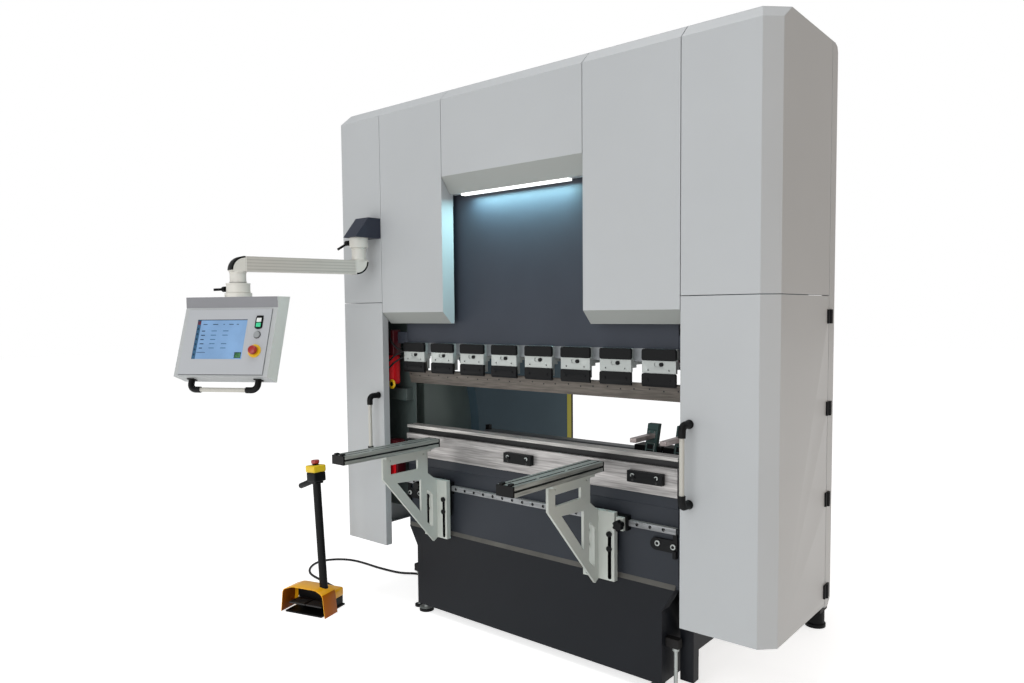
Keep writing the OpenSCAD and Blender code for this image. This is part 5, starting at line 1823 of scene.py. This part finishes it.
@dataclass
class FootSwitch:
    """Foot switch with its column.

    Attributes:
        place: Place of the switch on the floor.
        turn: Turn of the switch, in degrees.
        width: Width of the guard.
        height: Height of the guard.
        length: Length of the whole switch.
        hood: Length of the guard's open hood.
        sheet: Thickness of the guard.
        fold: Length of sheet that each fold takes up on either side.
        column: Place of the column's foot in the frame of the switch.
        lean: Lean of the column, in degrees.
        tube_top: Height where the column's tube ends, along the column.
        box_top: Top of the column's box, along the column.
        grip: Place of the grip's inner end, its length and its slope in degrees.
        tread_x: Inner and outer side of a tread.
        tread_z: Top of the treads.
        ribs_y: First rib on a tread, and the step to the next.
        floor: Frame of the switch, worked out.
        stand: Frame of the column, worked out.
    """

    place: Point = (-1.128, -0.457, 0.0)
    turn: float = 15.9
    width: float = 0.282
    height: float = 0.140
    length: float = 0.200
    hood: float = 0.104
    sheet: float = 0.003
    fold: float = 0.018
    column: Point = (0.091, 0.069, 0.0)
    lean: float = 4.2
    tube_top: float = 0.688
    box_top: float = 0.762
    grip: tuple[float, ...] = (-0.018, 0.682, 0.130, 107.0)
    tread_x: Pair = (0.010, 0.096)
    tread_z: float = 0.050
    ribs_y: Pair = (0.026, 0.009)
    floor: Matrix = field(init=False)
    stand: Matrix = field(init=False)

    def __post_init__(self) -> None:
        """Works out the frames of the switch and of its column."""
        turn = Matrix.Rotation(math.radians(self.turn), 4, "Z")
        self.floor = Matrix.Translation(self.place) @ turn
        self.stand = (self.floor @ Matrix.Translation(self.column) @ turn.inverted()
                      @ Matrix.Translation((0, 0, 0.008))
                      @ Matrix.Rotation(math.radians(-self.lean), 4, "Y"))

    def build(self, shop: Workshop) -> None:
        """Makes the guard, the column and the treads, and refines the rest.

        Args:
            shop: The workshop.
        """
        self.guard()
        self.post()
        shop.refine("foot_base", [BLACK], 0.0015)
        shop.refine("column_stop", [RED_KEY], 0.004, steps=3)
        for side in Side:
            shop.refine(f"pedal_{side.word}", [TREAD], 0.0015)
            self.ribs(side)

    def bent(self) -> list[Pair]:
        """Draws the guard's outline from the front, with its rounded folds.

        Returns:
            The corners, as (X, Z), from the left foot over the top to the right one.
        """
        w, h = self.width / 2, self.height
        corners = [(-w, 0.0), (-w + 0.013, h - 0.021), (-0.069, h), (0.085, h),
                   (w - 0.013, h - 0.021), (w, 0.0)]
        out = [corners[0]]
        for a, b, c in zip(corners, corners[1:], corners[2:]):
            before, after = Vector(a) - Vector(b), Vector(c) - Vector(b)
            start = Vector(b) + before.normalized() * self.fold
            end = Vector(b) + after.normalized() * self.fold
            for k in range(7):
                t = k / 6
                p = start * (1 - t) ** 2 + Vector(b) * 2 * t * (1 - t) + end * t ** 2
                out.append((p.x, p.y))
        return out + [corners[-1]]

    def guard(self) -> None:
        """Bends the guard's hood and closes it with the body behind."""
        outer = self.bent()
        inner = [(x * (1 - 2.2 * self.sheet / self.width), z - (self.sheet if z > 0.01 else 0))
                 for x, z in reversed(outer)]
        piece = Sculptor([ORANGE, BLACK, ORANGE_SIDE_SHADE, ORANGE_INNER_SHADE])
        top, black, side, under = range(4)
        piece.prism(outer + inner, 0.0, self.hood, top, 0.0008)
        # The outer sides and the inner and lower faces take the darker oranges: painted shade.
        piece.repaint(side, lambda at, way: way.x * math.copysign(1, at.x) > 0.8)
        piece.repaint(under, lambda at, way: way.x * math.copysign(1, at.x) < -0.8 or way.z < -0.3)
        piece.box((-0.112, self.hood - 0.003, 0.052), (0.112, self.length, 0.099), top, 0.010, 4)
        # A black sheet on the body's front under the hood stands for the shade inside the guard:
        # painted shade.
        piece.box((-0.107, self.hood - 0.004, 0.053), (0.107, self.hood - 0.001, 0.095), black)
        wall = (self.hood - self.sheet, self.hood - 0.0002)
        brow = 0.096
        crown = [(x * 0.985, z - 0.0015) for x, z in outer if z > brow]
        piece.prism([(-0.129, brow)] + crown + [(0.129, brow)], *wall, top)
        for s in (-1, 1):
            piece.prism([(s * 0.1385, 0.002), (s * 0.109, 0.002), (s * 0.109, brow + 0.001),
                         (s * 0.1288, brow + 0.001)], *wall, top)
        piece.publish("foot_guard_piece", "base", ["foot_guard"], smooth=40, place=self.floor)

    def post(self) -> None:
        """Makes the leaning column with its grip and its box."""
        piece = Sculptor([BLACK, YELLOW_BOX])
        foot, tube, flare = 0.112, 0.0205, 0.0235
        piece.rod((0, 0, foot), (0, 0, self.tube_top), tube, 0, sides=40)
        piece.rod((0, 0, foot + 0.006), (0, 0, foot + 0.023), flare, 0, top=tube, sides=40)
        low, step, top = self.tube_top - 0.022, self.box_top - 0.036, self.box_top
        for half, start, end, finish, width, steps in (
                (0.0260, low, low + 0.018, 0, 0.005, 3), (0.0355, low + 0.012, step, 0, 0.006, 3),
                (0.0380, step, top, 1, 0.007, 4)):
            piece.box((-half, -half, start), (half, half, end), finish, width, steps)
        piece.rod((0, 0, top - 0.004), (0, 0, top + 0.006), 0.0165, 0, width=0.001)
        x, z, length, slope = self.grip
        ahead = Vector((-math.sin(math.radians(slope)), 0, math.cos(math.radians(slope))))
        start = Vector((x, 0, z))
        piece.rod(tuple(start), tuple(start + ahead * length), 0.0150, 0, width=0.004, steps=3)
        piece.publish("stop_column_piece", "base", ["stop_column"], smooth=45, place=self.stand)

    def ribs(self, side: Side) -> None:
        """Adds the grip ribs of a tread.

        Args:
            side: Side of the tread.
        """
        piece = Sculptor([TREAD])
        a, b = sorted(side.sign * x for x in self.tread_x)
        for k in range(6):
            y = self.ribs_y[0] + k * self.ribs_y[1]
            piece.box((a, y, self.tread_z), (b, y + 0.004, self.tread_z + 0.0018), 0, 0.0006)
        piece.publish(f"tread_ribs_{side.word}", f"pedal_{side.word[0]}", smooth=40,
                      place=self.floor)


@dataclass
class BackGauge:
    """Back gauge beam and fingers.

    Attributes:
        first: Place of the left finger along the beam.
        gap: Distance from the left finger to the right one.
        foot: Lower front edge of a finger's tower, in Y and Z.
        slope: Lean of the tower's front, in degrees.
        block_z: Height over which the block stands on the beam's left end.
        stop: Back, foot and top of a bare stop finger.
        saddle: Top and front of a black saddle.
    """

    first: float = 0.465
    gap: float = 0.146
    foot: Pair = (0.291, 0.892)
    slope: float = 14.7
    block_z: float = 0.9175
    stop: Point = (0.300, 0.972, 0.996)
    saddle: Pair = (0.9375, 0.312)

    def build(self, shop: Workshop) -> None:
        """Refines the back gauge.

        Args:
            shop: The workshop.
        """
        shop.refine("gauge_beam", [BARE, BLACKED], 0.001, choose=self.beam_face)
        for side in Side:
            shop.refine(f"finger_{side.word}", [GREEN, BLACKED, FINGER], 0.002,
                        choose=self.finger_face)
            self.tower(side)

    def beam_face(self, spot: Spot) -> int:
        """Blackens the block on the beam's end."""
        return 1 if spot.at.z > self.block_z and spot.at.x < 0 else 0

    def finger_face(self, spot: Spot) -> int:
        """Picks the finish of a face of a finger.

        Args:
            spot: The face.

        Returns:
            Number of the green tower, the black saddle or the bare stop finger.
        """
        back, low, high = self.stop
        if spot.at.y < back and low < spot.at.z < high:
            return 2
        top, front = self.saddle
        return 1 if spot.at.z < top and spot.at.y > front else 0

    def tower(self, side: Side) -> None:
        """Adds the recess, rim and screws on a tower's front.

        Args:
            side: Side of the finger.
        """
        x = self.first + (self.gap if side is Side.RIGHT else 0.0)
        place = (Matrix.Translation((x, *self.foot))
                 @ Matrix.Rotation(math.radians(-self.slope), 4, "X"))
        piece = Sculptor([GREEN, BLACKED, BRIGHT])
        green, black, bright = range(3)
        for half, front, back, low, high, finish, width, steps in (
                (0.0210, -0.0030, 0.001, 0.0040, 0.0620, bright, 0.0015, 2),
                (0.0195, -0.0036, 0.000, 0.0055, 0.0605, green, 0.0012, 2),
                (0.0155, -0.0042, 0.000, 0.0080, 0.0300, black, 0.0010, 2),
                (0.0155, -0.0042, 0.000, 0.0340, 0.0560, black, 0.0040, 3),
                (0.0235, -0.0012, 0.001, 0.1210, 0.1225, black, 0.0, 2)):
            piece.box((-half, front, low), (half, back, high), finish, width, steps)
        for x in (-0.013, 0.013):
            piece.screw((x, 0.0, 0.112), (0, -1, 0), 0.0035, 0.003, bright, black)
        piece.publish(f"tower_front_{side.word}", f"finger_{side.word[0]}", smooth=45, place=place)


def main() -> None:
    """Builds every class in order."""
    logging.basicConfig(level=logging.INFO, format="%(name)s: %(message)s")
    shop = Workshop(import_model())
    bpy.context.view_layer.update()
    Studio().build()
    for part in (Cable(), Shell(), Core(), Guards(), Supports(), Pendant(), FootSwitch(),
                 BackGauge()):
        part.build(shop)
    bpy.context.scene.view_settings.view_transform = "Standard"


if __name__ == "__main__":
    main()
